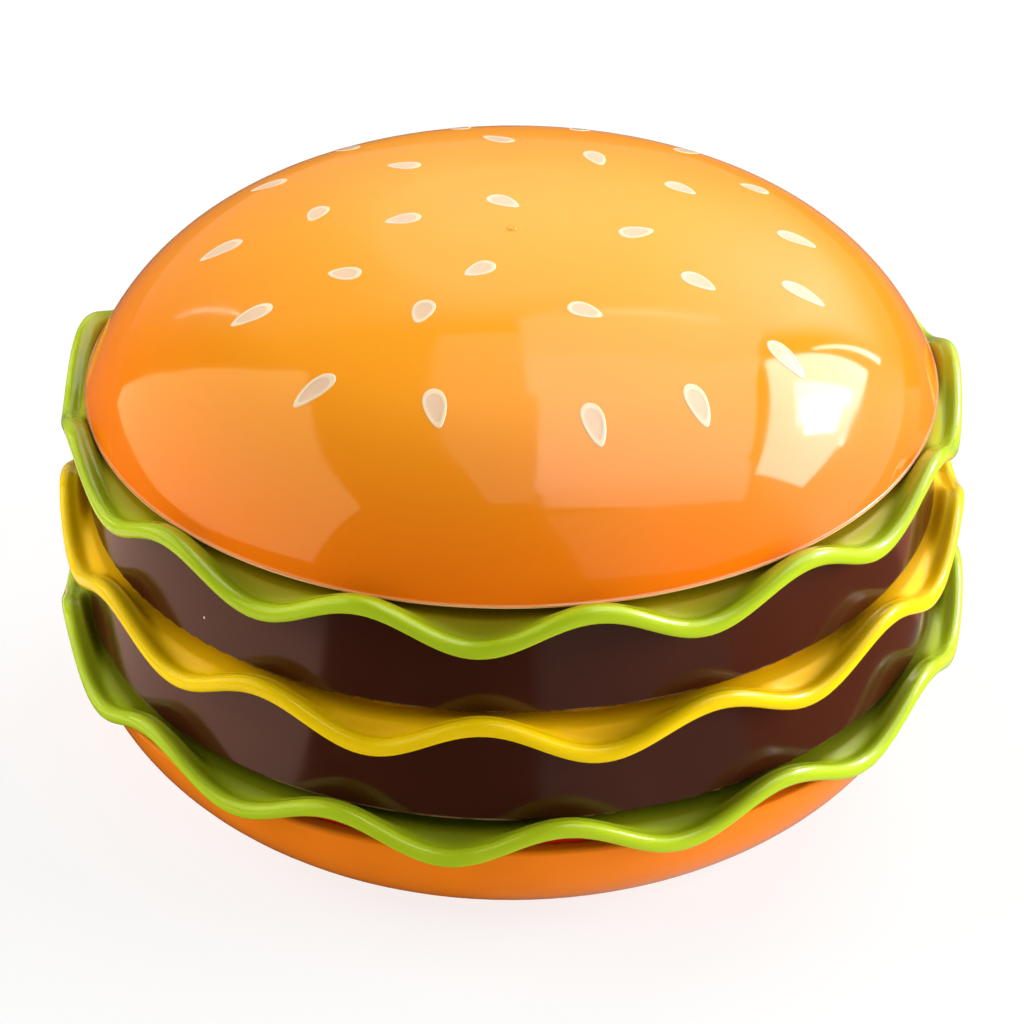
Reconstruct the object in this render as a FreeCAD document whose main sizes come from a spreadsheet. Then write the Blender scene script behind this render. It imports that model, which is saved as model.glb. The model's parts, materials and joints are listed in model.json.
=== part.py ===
import FreeCAD, Part
import math
import os
import Sketcher

# A telephone shaped like a stacked hamburger. The upper half, from the top bun down to the upper
# patty, is a lid that turns on a pin at the back. The lower half holds the keypad and stands on feet.
# Millimetres, +Z up, front towards -Y, origin on the floor below the middle.

SIZES = {
    # Top bun: a crown arc that runs into a tighter shoulder arc
    "bun_radius": 60.0,
    "dome_height": 24.2,
    "crown_edge_radius": 39.5,
    "crown_rise": 5.65,
    "shell_wall": 2.4,
    "lid_post_place": 28.3,
    "lid_post_radius": 3.0,
    "lid_post_rise": 17.0,
    # Wavy flanges: lettuce, cheese, lettuce
    "layer_pitch": 16.3,
    "flange_thickness": 2.2,
    "flange_hole_radius": 52.0,
    "upper_lip_radius": 63.5,
    "cheese_lip_radius": 64.7,
    "lower_lip_radius": 65.7,
    "lip_height": 2.45,
    "lip_width": 2.1,
    "upper_lip_drop": 2.1,
    "cheese_lip_drop": 1.85,
    "lower_lip_drop": 1.45,
    "crease_inset": 3.4,
    "wave_count": 13,
    "wave_height": 2.45,
    "low_crest_turn": 112.0,
    "low_crest_share": 0.45,
    "upper_low_angle": -4.2,
    "cheese_low_angle": -17.2,
    "lower_low_angle": -7.8,
    # Patties
    "upper_patty_radius": 60.5,
    "lower_patty_radius": 61.6,
    "patty_taper": 1.6,
    "patty_wall": 2.5,
    "patty_rounding": 0.6,
    "ledge_width": 2.8,
    "ledge_thickness": 1.6,
    "lid_gap": 0.3,
    "clearance": 0.3,
    # Bottom bun and tomato
    "foot_height": 1.2,
    "bottom_bun_height": 16.7,
    "bottom_bun_radius": 63.0,
    "base_radius": 52.0,
    "base_arc_radius": 27.0,
    "rim_rounding": 0.6,
    "rim_lean": 0.2,
    "sound_slot_y": -40.0,
    "sound_slot_half": 5.0,
    "sound_slot_width": 1.6,
    "sound_slot_pitch": 3.6,
    "floor_thickness": 2.5,
    "tomato_thickness": 1.9,
    "tomato_rounding": 0.5,
    "tomato_radius": 61.5,
    "tomato_hole_radius": 56.0,
    # Hinge at the back
    "hinge_y": 62.0,
    "hinge_rise": 3.7,
    "barrel_radius": 3.2,
    "barrel_relief": 0.4,
    "knuckle_heel": 6.0,
    "knuckle_slope": 5.5,
    "pin_radius": 1.5,
    "pin_fit": 0.05,
    "base_knuckle_half": 8.6,
    "lid_knuckle_start": 9.0,
    "lid_knuckle_length": 11.0,
    "notch_half": 21.0,
    "notch_y": 57.6,
    # Keypad deck and keys
    "deck_thickness": 2.0,
    "key_radius": 5.0,
    "key_fit": 0.25,
    "key_flange": 1.0,
    "key_stand": 1.9,
    "key_rounding": 0.8,
    "key_dish": 0.35,
    "key_dish_radius": 30.0,
    "key_pitch_x": 14.0,
    "key_pitch_y": 12.6,
    "top_row_y": 22.0,
    "function_key_x": 9.0,
    "function_key_y": -29.0,
    "mat_half_width": 21.5,
    "mat_front": -36.0,
    "mat_back": 29.0,
    "mat_thickness": 1.0,
    "dome_lift": 1.6,
    "dome_radius": 3.6,
    # Circuit board and what hangs on it
    "board_drop": 3.7,
    "board_half_width": 28.0,
    "board_half_length": 38.0,
    "board_thickness": 1.6,
    "board_boss_x": 24.5,
    "board_boss_y": 34.0,
    "board_boss_radius": 2.5,
    "board_screw_radius": 1.0,
    "board_screw_head": 2.0,
    "board_screw_length": 4.5,
    "buzzer_radius": 11.0,
    "buzzer_height": 5.0,
    "buzzer_y": 10.0,
    "buzzer_port": 1.5,
    # Microphone and hook switch
    "mic_y": -45.0,
    "mic_radius": 4.85,
    "mic_height": 5.1,
    "boot_wall": 1.15,
    "boot_floor": 1.9,
    "sound_hole_radius": 0.8,
    "hook_y": 43.0,
    "hook_half_width": 6.0,
    "hook_half_depth": 4.5,
    "hook_floor": 2.0,
    "plunger_radius": 2.5,
    "plunger_reach": 10.4,
    # Screws that close the two halves
    "screw_radius": 1.5,
    "screw_head_radius": 2.9,
    "screw_clearance": 0.2,
    "lid_screw_length": 11.0,
    "base_screw_length": 13.0,
    "pilot_depth": 12.0,
    "base_post_place": 32.5,
    "base_post_radius": 3.5,
    "base_post_bottom": 8.0,
    "socket_radius": 4.5,
    "socket_web": 3.0,
    # Underside
    "foot_x": 24.0,
    "foot_y": 38.0,
    "foot_radius": 5.4,
    "foot_recess": 0.8,
    "ballast_radius": 28.0,
    "ballast_thickness": 4.0,
    "switch_x": 36.0,
    "switch_half_width": 3.5,
    "switch_half_length": 7.0,
    "switch_height": 6.0,
    "switch_slot_depth": 1.6,
    "switch_slot_half": 4.5,
    "knob_length": 4.0,
    "knob_width": 3.0,
    "knob_travel": 4.0,
    "knob_recess": 0.4,
    # Line socket
    "jack_front": 53.5,
    "jack_depth": 14.0,
    "jack_half_width": 6.5,
    "jack_height": 12.0,
    "socket_half_width": 4.9,
    "socket_height": 7.0,
    "socket_depth": 11.0,
    "latch_half_width": 3.0,
    "latch_depth": 1.5,
    # Ear plate and receiver
    "ear_plate_rise": 4.2,
    "ear_plate_thickness": 2.0,
    "receiver_radius": 15.0,
    "receiver_height": 7.0,
    "gasket_thickness": 0.8,
    "collar_wall": 1.6,
    "collar_height": 4.0,
    "rib_inset": 1.0,
    "rib_width": 1.5,
    "rib_height": 1.0,
    "magnet_height": 3.0,
    "gasket_width": 4.0,
    "grille_hole_radius": 0.9,
    "grille_ring_step": 4.5,
    "pad_radius": 4.0,
}

doc = FreeCAD.newDocument("hamburger_telephone")
sheet = doc.addObject("Spreadsheet::Sheet", "dims")
for row, (alias, number) in enumerate(SIZES.items(), start=1):
    sheet.set(f"A{row}", alias)
    sheet.set(f"B{row}", str(number))
    sheet.setAlias(f"B{row}", alias)
doc.recompute()


class Size:
    """A length and the sheet formula that gives it, kept together."""

    def __init__(self, value, formula):
        self.value = value
        self.formula = formula

    def join(self, other, sign, value):
        return Size(value, f"({self.formula} {sign} {other.formula})")

    def __add__(self, other):
        other = size(other)
        return self.join(other, "+", self.value + other.value)

    def __sub__(self, other):
        other = size(other)
        return self.join(other, "-", self.value - other.value)

    def __mul__(self, other):
        other = size(other)
        return self.join(other, "*", self.value * other.value)

    def __truediv__(self, other):
        other = size(other)
        return self.join(other, "/", self.value / other.value)

    def __neg__(self):
        return Size(-self.value, f"(0 - {self.formula})")


def size(length):
    if isinstance(length, Size):
        return length
    return Size(float(length), f"({float(length)})")


def dim(name):
    return Size(float(sheet.get(name)), f"dims.{name}")


# Levels of the stack, from the floor up
base_level = dim("foot_height")
floor_top = base_level + dim("floor_thickness")
bun_rim_level = base_level + dim("bottom_bun_height")
tomato_top = bun_rim_level + dim("tomato_thickness")
lower_floor = tomato_top + dim("flange_thickness")
cheese_floor = lower_floor + dim("layer_pitch")
upper_floor = cheese_floor + dim("layer_pitch")
lower_patty_top = cheese_floor - dim("flange_thickness")
upper_patty_top = upper_floor - dim("flange_thickness")
seam_level = cheese_floor + dim("lid_gap")
hinge_level = cheese_floor + dim("hinge_rise")
deck_top = lower_patty_top
deck_bottom = deck_top - dim("deck_thickness")
board_top = deck_bottom - dim("board_drop")
board_bottom = board_top - dim("board_thickness")
dome_top = board_top + dim("mat_thickness") + dim("dome_lift")
ear_bottom = cheese_floor + dim("ear_plate_rise")
ear_top = ear_bottom + dim("ear_plate_thickness")
upper_inner_radius = dim("upper_patty_radius") - dim("patty_taper") - dim("patty_wall")
lower_inner_radius = dim("lower_patty_radius") - dim("patty_taper") - dim("patty_wall")

nodes = []


# Building blocks

def new_body(label):
    body = doc.addObject("PartDesign::Body", label)
    body.Label = label
    nodes.append(body)
    return body


def new_sketch(body, role, height=0):
    """A sketch on one of the body's own origin planes, moved along that plane's normal."""
    sketch = body.newObject("Sketcher::SketchObject", "sketch")
    planes = [plane for plane in body.Origin.OriginFeatures if plane.Role == role]
    sketch.AttachmentSupport = [(planes[0], "")]
    sketch.MapMode = "FlatFace"
    sketch.setExpression("AttachmentOffset.Base.z", size(height).formula)
    return sketch


def bind(sketch, constraint, formula):
    index = sketch.addConstraint(constraint)
    sketch.setExpression(f"Constraints[{index}]", formula)


def pin_point(sketch, item, point, x, y):
    """Holds a point of a sketch at sheet lengths from the sketch's origin."""
    for kind, length in (("DistanceX", size(x)), ("DistanceY", size(y))):
        bind(sketch, Sketcher.Constraint(kind, -1, 1, item, point, length.value), length.formula)


def arc_between(start, end, radius):
    """An arc of the given radius, counter-clockwise from start to end."""
    chord = end - start
    half = chord.Length / 2
    left = FreeCAD.Vector(-chord.y, chord.x, 0).normalize()
    centre = (start + end) / 2 + left * math.sqrt(radius * radius - half * half)
    first = math.atan2(start.y - centre.y, start.x - centre.x)
    last = math.atan2(end.y - centre.y, end.x - centre.x)
    circle = Part.Circle(centre, FreeCAD.Vector(0, 0, 1), radius)
    return Part.ArcOfCircle(circle, first, last)


def outline(sketch, corners):
    """A closed outline. A corner is (x, y), or (x, y, radius) where an arc leads to it from the corner
    before; a negative radius turns clockwise."""
    points = [FreeCAD.Vector(size(c[0]).value, size(c[1]).value, 0) for c in corners]
    ends = []
    for index, corner in enumerate(corners):
        before = points[index - 1]
        here = points[index]
        if len(corner) == 2:
            item = sketch.addGeometry(Part.LineSegment(before, here))
            ends.append((item, 1, 2))
            continue
        radius = size(corner[2])
        if radius.value > 0:
            item = sketch.addGeometry(arc_between(before, here, radius.value))
            ends.append((item, 1, 2))
        else:
            radius = -radius
            item = sketch.addGeometry(arc_between(here, before, radius.value))
            ends.append((item, 2, 1))
        bind(sketch, Sketcher.Constraint("Radius", item, radius.value), radius.formula)
    for index, (item, start, end) in enumerate(ends):
        after, after_start, _ = ends[(index + 1) % len(ends)]
        sketch.addConstraint(Sketcher.Constraint("Coincident", item, end, after, after_start))
        pin_point(sketch, item, end, corners[index][0], corners[index][1])


def rectangle(sketch, low, high):
    outline(sketch, [(low[0], low[1]), (high[0], low[1]), (high[0], high[1]), (low[0], high[1])])


def circles(sketch, centres, radius):
    radius = size(radius)
    for x, y in centres:
        centre = FreeCAD.Vector(size(x).value, size(y).value, 0)
        item = sketch.addGeometry(Part.Circle(centre, FreeCAD.Vector(0, 0, 1), radius.value))
        bind(sketch, Sketcher.Constraint("Radius", item, radius.value), radius.formula)
        pin_point(sketch, item, 3, x, y)


def pad(body, sketch, length):
    feature = body.newObject("PartDesign::Pad", "pad")
    feature.Profile = sketch
    feature.setExpression("Length", size(length).formula)
    return feature


def cut_through(body, sketch):
    """Cuts against the sketch plane's normal, as far as the solid goes."""
    feature = body.newObject("PartDesign::Pocket", "cut")
    feature.Profile = sketch
    feature.Type = "ThroughAll"
    return feature


def cut_to_depth(body, sketch, depth):
    """Cuts against the sketch plane's normal, to a depth."""
    feature = body.newObject("PartDesign::Pocket", "cut")
    feature.Profile = sketch
    feature.setExpression("Length", size(depth).formula)
    return feature


def revolve(body, corners):
    """Turns an outline of (radius, height) corners about the body's Z axis."""
    sketch = new_sketch(body, "XZ_Plane")
    outline(sketch, corners)
    feature = body.newObject("PartDesign::Revolution", "revolution")
    feature.Profile = sketch
    feature.ReferenceAxis = (sketch, ["V_Axis"])
    feature.Angle = 360
    return feature


def pad_circles(body, level, centres, radius, length):
    sketch = new_sketch(body, "XY_Plane", level)
    circles(sketch, centres, radius)
    return pad(body, sketch, length)


def drill(body, level, centres, radius):
    """Round holes from a level down."""
    sketch = new_sketch(body, "XY_Plane", level)
    circles(sketch, centres, radius)
    return cut_through(body, sketch)


def pad_rectangle(body, level, low, high, length):
    sketch = new_sketch(body, "XY_Plane", level)
    rectangle(sketch, low, high)
    return pad(body, sketch, length)


def cut_rectangle(body, level, low, high):
    sketch = new_sketch(body, "XY_Plane", level)
    rectangle(sketch, low, high)
    return cut_through(body, sketch)


def move(body, x, y):
    body.setExpression("Placement.Base.x", size(x).formula)
    body.setExpression("Placement.Base.y", size(y).formula)


def four_corners(x, y):
    return [(x, y), (-x, y), (-x, -y), (x, -y)]


def group(label, bodies):
    """Identical pieces that share one node."""
    for body in bodies:
        nodes.remove(body)
    compound = doc.addObject("Part::Compound", label)
    compound.Label = label
    compound.Links = bodies
    nodes.append(compound)


# Wavy flanges

def crest_share(start, span):
    """How much of its full rise a wave makes: the waves at the back, by the hinge, stay low."""
    middle = start + span / 2
    turn = abs(math.degrees(math.atan2(math.sin(middle), math.cos(middle))))
    return 1.0 if turn < dim("low_crest_turn").value else dim("low_crest_share").value


def wave_curve(radius, level, wave, start):
    """One wave of a curve round the axis, at a steady radius, from the low point at start to the next."""
    span = 2 * math.pi / dim("wave_count").value
    share = crest_share(start, span)
    steps = 4
    points = []
    for step in range(steps + 1):
        turn = start + span * step / steps
        rise = wave * (share * (1 - math.cos(2 * math.pi * step / steps)) - 1)
        points.append(FreeCAD.Vector(radius * math.sin(turn), -radius * math.cos(turn), level + rise))
    tangents = []
    for turn in (start, start + span):
        tangents.append(FreeCAD.Vector(math.cos(turn), math.sin(turn), 0) * radius * span)
    curve = Part.BSplineCurve()
    curve.interpolate(
        Points=points,
        Parameters=[step / steps for step in range(steps + 1)],
        InitialTangent=tangents[0],
        FinalTangent=tangents[1],
    )
    return curve.toShape()


def lip_section(lip_radius, middle):
    """The rolled lip as (radius, height) points round a stadium: top, outer side, underside."""
    round_radius = dim("lip_width").value / 2
    straight = dim("lip_height").value / 2 - round_radius
    centre = lip_radius - round_radius
    points = []
    for offset, turns in ((straight, (90, 45, 0)), (-straight, (0, -75, -150))):
        for turn in turns:
            angle = math.radians(turn)
            height = middle + offset + round_radius * math.sin(angle)
            points.append((centre + round_radius * math.cos(angle), height))
    return points


def sweep_up(first, second, wave):
    """Two rails of an S-shaped rise between the crease and the top of the lip."""
    rails = []
    for share in (1 / 3, 2 / 3):
        rise = share * share * (3 - 2 * share)
        radius = first[0] + (second[0] - first[0]) * share
        height = first[1] + (second[1] - first[1]) * rise
        rails.append((radius, height, wave * rise))
    return rails


def flange_shape(floor, layer):
    """A flat ring whose outer band leaves a round crease and ends in a lip that waves up and down."""
    floor_level = floor.value
    lip_radius = dim(layer + "_lip_radius").value
    lip_level = floor_level - dim(layer + "_lip_drop").value
    low_angle = math.radians(dim(layer + "_low_angle").value)
    wave = dim("wave_height").value
    hole = dim("flange_hole_radius").value
    underside = floor_level - dim("flange_thickness").value
    crease = lip_radius - dim("crease_inset").value
    lower_crease = crease - dim("flange_thickness").value / 3
    lip = lip_section(lip_radius, lip_level)
    rails = [(hole, floor_level, 0), (crease, floor_level, 0)]
    rails += sweep_up((crease, floor_level), lip[0], wave)
    rails += [(r, z, wave) for r, z in lip]
    rails += [(lower_crease, underside, 0), (hole, underside, 0)]
    count = int(dim("wave_count").value)
    forward = 1
    faces = []
    for number in range(count):
        start = low_angle + 2 * math.pi * number / count
        curves = [wave_curve(r, z, amount, start) for r, z, amount in rails]
        for first, second in zip(curves, curves[1:] + curves[:1]):
            faces += Part.makeRuledSurface(first, second, forward).Faces
    shell = Part.makeShell(faces)
    shell.sewShape()
    return Part.makeSolid(shell)


def add_feature(label, shape):
    feature = doc.addObject("Part::Feature", label)
    feature.Label = label
    feature.Shape = shape
    feature.Placement = FreeCAD.Placement()
    nodes.append(feature)
    return feature


def add_flange(label, floor, layer):
    return add_feature(label, flange_shape(floor, layer))


# Lid

def shoulder_radius(rim, edge, edge_height, lean_out, lean_up):
    """The arc that leaves the crown's edge without a corner and reaches the rim."""
    inset = edge - rim
    return (inset * inset + edge_height * edge_height) / ((inset * lean_out + edge_height * lean_up) * 2)


def make_top_bun():
    """A hollow dome. The crown arc is level at the apex, and a tighter shoulder arc takes it to the rim."""
    body = new_body("top_bun")
    wall = dim("shell_wall")
    rim = dim("bun_radius")
    edge = dim("crown_edge_radius")
    rise = dim("crown_rise")
    height = dim("dome_height")
    crown = (edge * edge + rise * rise) / (rise * 2)
    lean_out = edge / crown
    lean_up = (crown - rise) / crown
    inner_edge = edge - lean_out * wall
    inner_edge_height = height - rise - lean_up * wall
    shoulder = shoulder_radius(rim, edge, height - rise, lean_out, lean_up)
    inner_shoulder = shoulder_radius(rim - wall, inner_edge, inner_edge_height, lean_out, lean_up)
    revolve(body, [
        (rim - wall, upper_floor, -inner_shoulder),
        (rim, upper_floor),
        (edge, upper_floor + height - rise, shoulder),
        (0, upper_floor + height, crown),
        (0, upper_floor + height - wall),
        (inner_edge, upper_floor + inner_edge_height, -(crown - wall)),
    ])
    places = four_corners(dim("lid_post_place"), dim("lid_post_place"))
    pad_circles(body, ear_top, places, dim("lid_post_radius"), upper_floor + dim("lid_post_rise") - ear_top)
    drill(body, upper_floor, places, dim("screw_radius") + dim("pin_fit"))


def rounded_wall(radius, bottom, top):
    """A patty's outside: a rounded lower edge and a wall that leans in to the top."""
    rounding = dim("patty_rounding")
    lean = dim("patty_taper") / (top - bottom)
    return [
        (radius - rounding, bottom),
        (radius - lean * rounding, bottom + rounding, rounding),
        (radius - dim("patty_taper"), top),
    ]


def make_upper_patty():
    body = new_body("upper_patty")
    outer = dim("upper_patty_radius")
    inner = upper_inner_radius
    ledge = inner - dim("ledge_width")
    ledge_top = ear_top + dim("ledge_thickness")
    revolve(body, [
        (inner, seam_level),
        *rounded_wall(outer, seam_level, upper_patty_top),
        (inner, upper_patty_top),
        (inner, ledge_top + dim("ledge_width")),
        (ledge, ledge_top),
        (ledge, ear_top),
        (inner, ear_top),
    ])
    barrel = dim("barrel_radius")
    relief = new_sketch(body, "YZ_Plane", dim("lid_knuckle_start"))
    circles(relief, [(dim("hinge_y"), hinge_level)], barrel + dim("barrel_relief"))
    cut_to_depth(body, relief, dim("lid_knuckle_start") * 2)
    root = upper_inner_radius
    for start in (dim("lid_knuckle_start"), -dim("lid_knuckle_start") - dim("lid_knuckle_length")):
        sketch = new_sketch(body, "YZ_Plane", start)
        outline(sketch, [
            (root, hinge_level - barrel),
            (dim("hinge_y"), hinge_level - barrel),
            (dim("hinge_y") + barrel, hinge_level, barrel),
            (dim("hinge_y"), hinge_level + barrel, barrel),
            (root, hinge_level + barrel * 2),
        ])
        pad(body, sketch, dim("lid_knuckle_length"))
    bore = new_sketch(body, "YZ_Plane", dim("lid_knuckle_start") + dim("lid_knuckle_length"))
    circles(bore, [(dim("hinge_y"), hinge_level)], dim("pin_radius") + dim("pin_fit"))
    cut_through(body, bore)


def grille_places():
    """Sound holes: one in the middle and two rings round it."""
    places = [(0, 0)]
    for ring in (1, 2):
        count = 6 * ring
        for step in range(count):
            turn = 2 * math.pi * step / count
            radius = dim("grille_ring_step") * ring
            places.append((radius * math.cos(turn), radius * math.sin(turn)))
    return places


def make_ear_plate():
    """The inner face of the lid: a rib round the sound holes, a collar for the receiver and a hook pad."""
    body = new_body("ear_plate")
    edge = upper_inner_radius - dim("clearance")
    collar = dim("receiver_radius") + dim("clearance")
    collar_top = ear_top + dim("collar_height")
    rib = collar + dim("rib_inset")
    rib_bottom = ear_bottom - dim("rib_height")
    revolve(body, [
        (0, ear_bottom),
        (rib, ear_bottom),
        (rib, rib_bottom),
        (rib + dim("rib_width"), rib_bottom),
        (rib + dim("rib_width"), ear_bottom),
        (edge, ear_bottom),
        (edge, ear_top),
        (collar + dim("collar_wall"), ear_top),
        (collar + dim("collar_wall"), collar_top),
        (collar, collar_top),
        (collar, ear_top),
        (0, ear_top),
    ])
    pad_bottom = cheese_floor
    pad_circles(body, pad_bottom, [(0, dim("hook_y"))], dim("pad_radius"), ear_bottom - pad_bottom)
    drill(body, ear_top, grille_places(), dim("grille_hole_radius"))
    places = four_corners(dim("lid_post_place"), dim("lid_post_place"))
    drill(body, ear_top, places, dim("screw_radius") + dim("screw_clearance"))


def make_receiver():
    gasket = new_body("receiver_gasket")
    radius = dim("receiver_radius")
    ring_inner = radius - dim("gasket_width")
    gasket_top = ear_top + dim("gasket_thickness")
    revolve(gasket, [
        (ring_inner, ear_top),
        (radius, ear_top),
        (radius, gasket_top),
        (ring_inner, gasket_top),
    ])
    capsule = new_body("receiver_capsule")
    capsule_top = gasket_top + dim("receiver_height")
    magnet = radius / 2
    chamfer = dim("magnet_height") / 2
    revolve(capsule, [
        (0, gasket_top),
        (radius, gasket_top),
        (radius, capsule_top - chamfer),
        (radius - chamfer, capsule_top),
        (magnet, capsule_top),
        (magnet, capsule_top + dim("magnet_height")),
        (0, capsule_top + dim("magnet_height")),
    ])


# Base

def make_bottom_bun():
    """A bowl with a flat base and slots that let the ringer out. The wall is one arc, inside and outside."""
    body = new_body("bottom_bun")
    wall = dim("shell_wall")
    inner_rim = dim("bottom_bun_radius") - wall
    inner_base = dim("base_radius") - wall / 2
    rounding = dim("rim_rounding")
    outer = dim("bottom_bun_radius")
    revolve(body, [
        (0, base_level),
        (dim("base_radius"), base_level),
        (outer - dim("rim_lean") * rounding, bun_rim_level - rounding, dim("base_arc_radius")),
        (outer - rounding, bun_rim_level, rounding),
        (inner_rim, bun_rim_level),
        (inner_base, floor_top, -(dim("base_arc_radius") - wall)),
        (0, floor_top),
    ])
    screws = four_corners(dim("base_post_place"), dim("base_post_place"))
    pad_circles(body, floor_top, screws, dim("socket_radius"), dim("base_post_bottom") - floor_top)
    drill(body, dim("base_post_bottom"), screws, dim("screw_radius") + dim("screw_clearance"))
    head_hole = dim("screw_head_radius") + dim("clearance")
    drill(body, dim("base_post_bottom") - dim("socket_web"), screws, head_hole)
    feet = four_corners(dim("foot_x"), dim("foot_y"))
    drill(body, base_level + dim("foot_recess"), feet, dim("foot_radius") + dim("screw_clearance"))
    slot_half_width = dim("knob_width") / 2 + dim("screw_clearance")
    for side in (1, -1):
        middle = dim("switch_x") * side
        low = (middle - slot_half_width, -dim("switch_slot_half"))
        high = (middle + slot_half_width, dim("switch_slot_half"))
        cut_rectangle(body, floor_top, low, high)
    for step in range(-2, 3):
        left = dim("sound_slot_pitch") * step - dim("sound_slot_width") / 2
        low = (left, dim("sound_slot_y") - dim("sound_slot_half"))
        high = (left + dim("sound_slot_width"), dim("sound_slot_y") + dim("sound_slot_half"))
        cut_rectangle(body, floor_top, low, high)
    window = new_sketch(body, "XZ_Plane", -(dim("jack_front") - dim("jack_depth")))
    half = dim("jack_half_width") + dim("clearance")
    rectangle(window, (-half, floor_top), (half, floor_top + dim("jack_height") + dim("clearance")))
    cut_through(body, window)


def make_tomato():
    body = new_body("tomato_slice")
    rounding = dim("tomato_rounding")
    edge = dim("tomato_radius") - rounding
    revolve(body, [
        (dim("tomato_hole_radius"), bun_rim_level),
        (edge, bun_rim_level),
        (dim("tomato_radius"), bun_rim_level + rounding, rounding),
        (dim("tomato_radius"), tomato_top - rounding),
        (edge, tomato_top, rounding),
        (dim("tomato_hole_radius"), tomato_top),
    ])


def make_lower_patty():
    body = new_body("lower_patty")
    outer = dim("lower_patty_radius")
    inner = lower_inner_radius
    ledge = inner - dim("ledge_width")
    ledge_bottom = deck_bottom - dim("ledge_thickness")
    revolve(body, [
        (inner, lower_floor),
        *rounded_wall(outer, lower_floor, lower_patty_top),
        (inner, lower_patty_top),
        (inner, deck_bottom),
        (ledge, deck_bottom),
        (ledge, ledge_bottom),
        (inner, ledge_bottom - dim("ledge_width")),
    ])
    barrel = dim("barrel_radius")
    root = dim("hinge_y") - barrel
    back = dim("hinge_y") + barrel
    heel = lower_floor + dim("knuckle_heel")
    sketch = new_sketch(body, "YZ_Plane", -dim("base_knuckle_half"))
    outline(sketch, [
        (root, heel),
        (dim("hinge_y"), heel),
        (back, heel + dim("knuckle_slope")),
        (back, hinge_level),
        (dim("hinge_y"), hinge_level + barrel, barrel),
        (root, hinge_level, barrel),
        (dim("hinge_y"), hinge_level - barrel, barrel),
        (root, hinge_level - barrel * 2),
    ])
    pad(body, sketch, dim("base_knuckle_half") * 2)
    bore = new_sketch(body, "YZ_Plane", dim("base_knuckle_half"))
    circles(bore, [(dim("hinge_y"), hinge_level)], dim("pin_radius") + dim("pin_fit") / 2)
    cut_through(body, bore)


def make_hinge_pin():
    body = new_body("hinge_pin")
    half = dim("lid_knuckle_start") + dim("lid_knuckle_length") + dim("clearance")
    sketch = new_sketch(body, "YZ_Plane", -half)
    circles(sketch, [(dim("hinge_y"), hinge_level)], dim("pin_radius"))
    pad(body, sketch, half * 2)


def make_cheese():
    """The middle flange, with a gap at the back where the hinge turns."""
    ring = flange_shape(cheese_floor, "cheese")
    half = dim("notch_half").value
    reach = dim("cheese_lip_radius").value
    height = dim("layer_pitch").value
    corner = FreeCAD.Vector(-half, dim("notch_y").value, cheese_floor.value - height / 2)
    gap = Part.makeBox(2 * half, reach, height, corner)
    add_feature("cheese_slice", ring.cut(gap).Solids[0])


KEY_ROWS = (
    ("key_1", "key_2", "key_3"),
    ("key_4", "key_5", "key_6"),
    ("key_7", "key_8", "key_9"),
    ("key_star", "key_0", "key_hash"),
)


def key_places():
    places = {}
    for row, names in enumerate(KEY_ROWS):
        for column, name in enumerate(names):
            x = dim("key_pitch_x") * (column - 1)
            y = dim("top_row_y") - dim("key_pitch_y") * row
            places[name] = (x, y)
    places["key_redial"] = (-dim("function_key_x"), dim("function_key_y"))
    places["key_flash"] = (dim("function_key_x"), dim("function_key_y"))
    return places


def make_keypad_deck():
    body = new_body("keypad_deck")
    pad_circles(body, deck_bottom, [(0, 0)], lower_inner_radius - dim("clearance"), dim("deck_thickness"))
    posts = four_corners(dim("base_post_place"), dim("base_post_place"))
    post_bottom = dim("base_post_bottom")
    pad_circles(body, post_bottom, posts, dim("base_post_radius"), deck_bottom - post_bottom)
    bosses = four_corners(dim("board_boss_x"), dim("board_boss_y"))
    pad_circles(body, board_top, bosses, dim("board_boss_radius"), deck_bottom - board_top)
    drill(body, deck_top, list(key_places().values()), dim("key_radius") + dim("key_fit"))
    drill(body, deck_top, [(0, dim("hook_y"))], dim("plunger_radius") + dim("clearance"))
    sound_holes = [(dim("mic_radius") * step / 2, dim("mic_y")) for step in (-1, 0, 1)]
    drill(body, deck_top, sound_holes, dim("sound_hole_radius"))
    drill(body, post_bottom + dim("pilot_depth"), posts, dim("screw_radius") + dim("pin_fit"))
    drill(body, deck_bottom, bosses, dim("board_screw_radius") + dim("pin_fit"))


def make_keys():
    """Round caps with a dished top, each held under the deck by its flange."""
    radius = dim("key_radius")
    flange = radius + dim("key_flange")
    flange_top = deck_bottom - dim("key_fit")
    top = deck_top + dim("key_stand")
    rounding = dim("key_rounding")
    for name, (x, y) in key_places().items():
        body = new_body(name)
        revolve(body, [
            (0, dome_top),
            (flange, dome_top),
            (flange, flange_top),
            (radius, flange_top),
            (radius, top - rounding),
            (radius - rounding, top, rounding),
            (0, top - dim("key_dish"), -dim("key_dish_radius")),
        ])
        move(body, x, y)


def make_keypad_mat():
    body = new_body("keypad_mat")
    low = (-dim("mat_half_width"), dim("mat_front"))
    high = (dim("mat_half_width"), dim("mat_back"))
    pad_rectangle(body, board_top, low, high, dim("mat_thickness"))
    domes_level = board_top + dim("mat_thickness")
    pad_circles(body, domes_level, list(key_places().values()), dim("dome_radius"), dim("dome_lift"))


def make_circuit_board():
    body = new_body("circuit_board")
    half = (dim("board_half_width"), dim("board_half_length"))
    pad_rectangle(body, board_bottom, (-half[0], -half[1]), half, dim("board_thickness"))
    bosses = four_corners(dim("board_boss_x"), dim("board_boss_y"))
    drill(body, board_top, bosses, dim("board_screw_radius") + dim("screw_clearance"))


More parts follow.
